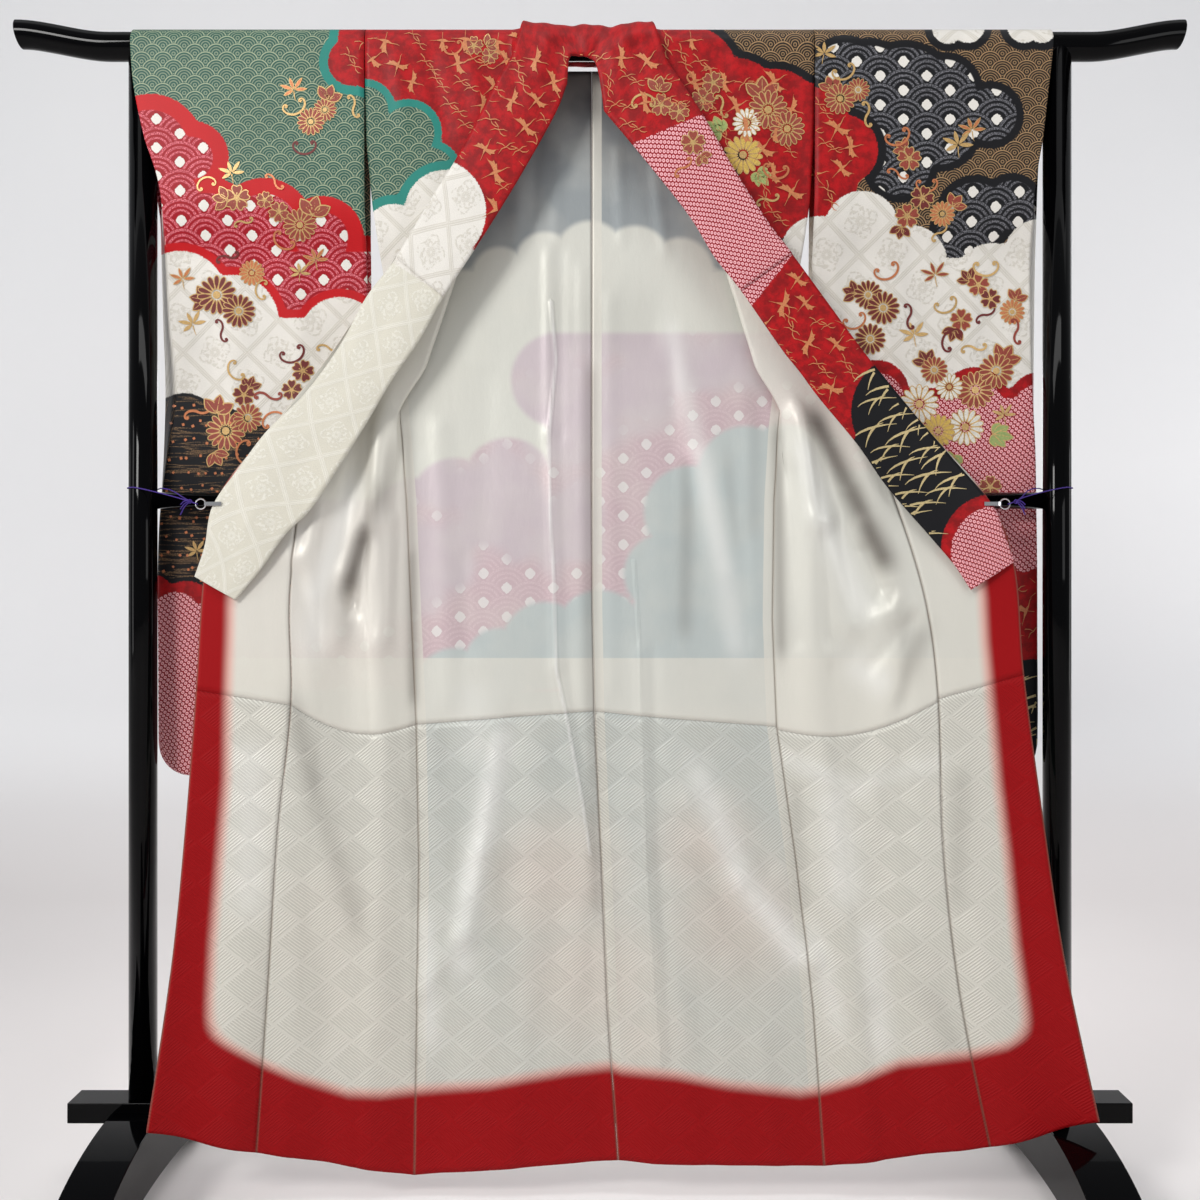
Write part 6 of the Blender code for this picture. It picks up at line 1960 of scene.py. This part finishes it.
class FURISODE_OT_finishes(bpy.types.Operator):
    """Make the shared pattern groups that the cloth and the stand use"""
    bl_idname = "furisode.finishes"
    bl_label = "Pattern groups"

    def execute(self, context):
        pattern_groups()
        return {"FINISHED"}


class FURISODE_OT_stand(bpy.types.Operator):
    """Build the lacquered stand"""
    bl_idname = "furisode.stand"
    bl_label = "Stand"

    def execute(self, context):
        stand_pieces()
        return {"FINISHED"}


class FURISODE_OT_clips(bpy.types.Operator):
    """Finish the steel clips and lay their cords round the posts"""
    bl_idname = "furisode.clips"
    bl_label = "Clips and cords"

    def execute(self, context):
        clip_pieces()
        return {"FINISHED"}


class FURISODE_OT_bodies(bpy.types.Operator):
    """Drape the two body panels over the bar"""
    bl_idname = "furisode.bodies"
    bl_label = "Body panels"

    def execute(self, context):
        for side in SIGN:
            body_piece(side)
        return {"FINISHED"}


class FURISODE_OT_linings(bpy.types.Operator):
    """Line the back and the fronts"""
    bl_idname = "furisode.linings"
    bl_label = "Linings"

    def execute(self, context):
        for side in SIGN:
            body_linings(side)
        return {"FINISHED"}


class FURISODE_OT_gores(bpy.types.Operator):
    """Add the front gores with their linings"""
    bl_idname = "furisode.gores"
    bl_label = "Front gores"

    def execute(self, context):
        for side in SIGN:
            gore_piece(side)
        return {"FINISHED"}


class FURISODE_OT_sleeves(bpy.types.Operator):
    """Hang the two long sleeves over the bar"""
    bl_idname = "furisode.sleeves"
    bl_label = "Sleeves"

    def execute(self, context):
        for side in SIGN:
            sleeve_piece(side)
        return {"FINISHED"}


class FURISODE_OT_collar(bpy.types.Operator):
    """Lay the collar and its cover round the neck"""
    bl_idname = "furisode.collar"
    bl_label = "Collar"

    def execute(self, context):
        collar_pieces()
        return {"FINISHED"}


class FURISODE_OT_motifs(bpy.types.Operator):
    """Print flowers, leaves, scrolls, cranes and gold flakes on the outer cloth"""
    bl_idname = "furisode.motifs"
    bl_label = "Printed motifs"

    def execute(self, context):
        motif_pieces()
        return {"FINISHED"}


class FURISODE_OT_stage(bpy.types.Operator):
    """Set the paper sweep, the lights and the camera"""
    bl_idname = "furisode.stage"
    bl_label = "Stage"

    def execute(self, context):
        stage_pieces()
        return {"FINISHED"}


OPERATORS = (FURISODE_OT_finishes, FURISODE_OT_stand, FURISODE_OT_clips, FURISODE_OT_bodies,
             FURISODE_OT_linings, FURISODE_OT_gores, FURISODE_OT_sleeves, FURISODE_OT_collar,
             FURISODE_OT_motifs, FURISODE_OT_stage)


class FURISODE_PT_panel(bpy.types.Panel):
    """Sizes, colours and building steps"""
    bl_label = "Furisode"
    bl_idname = "FURISODE_PT_panel"
    bl_space_type = "VIEW_3D"
    bl_region_type = "UI"
    bl_category = "Furisode"

    def draw(self, context):
        values = context.scene.furisode
        for title, group in (("Stand", values.stand), ("Cloth", values.cloth), ("Dyes", values.dyes)):
            box = self.layout.box()
            box.label(text=title)
            for key in group.__annotations__:
                box.prop(group, key)
        for operator in OPERATORS:
            self.layout.operator(operator.bl_idname)


CLASSES = (FurisodeStand, FurisodeCloth, FurisodeDyes, FurisodeSettings, *OPERATORS, FURISODE_PT_panel)


def register():
    for cls in CLASSES:
        bpy.utils.register_class(cls)
    bpy.types.Scene.furisode = bpy.props.PointerProperty(type=FurisodeSettings, name="Furisode",
                                                         description="Sizes and colours of the furisode")


def unregister():
    del bpy.types.Scene.furisode
    for cls in reversed(CLASSES):
        bpy.utils.unregister_class(cls)


def main():
    register()
    for operator in OPERATORS:
        getattr(bpy.ops.furisode, operator.bl_idname.split(".")[1])()


if __name__ == "__main__":
    main()
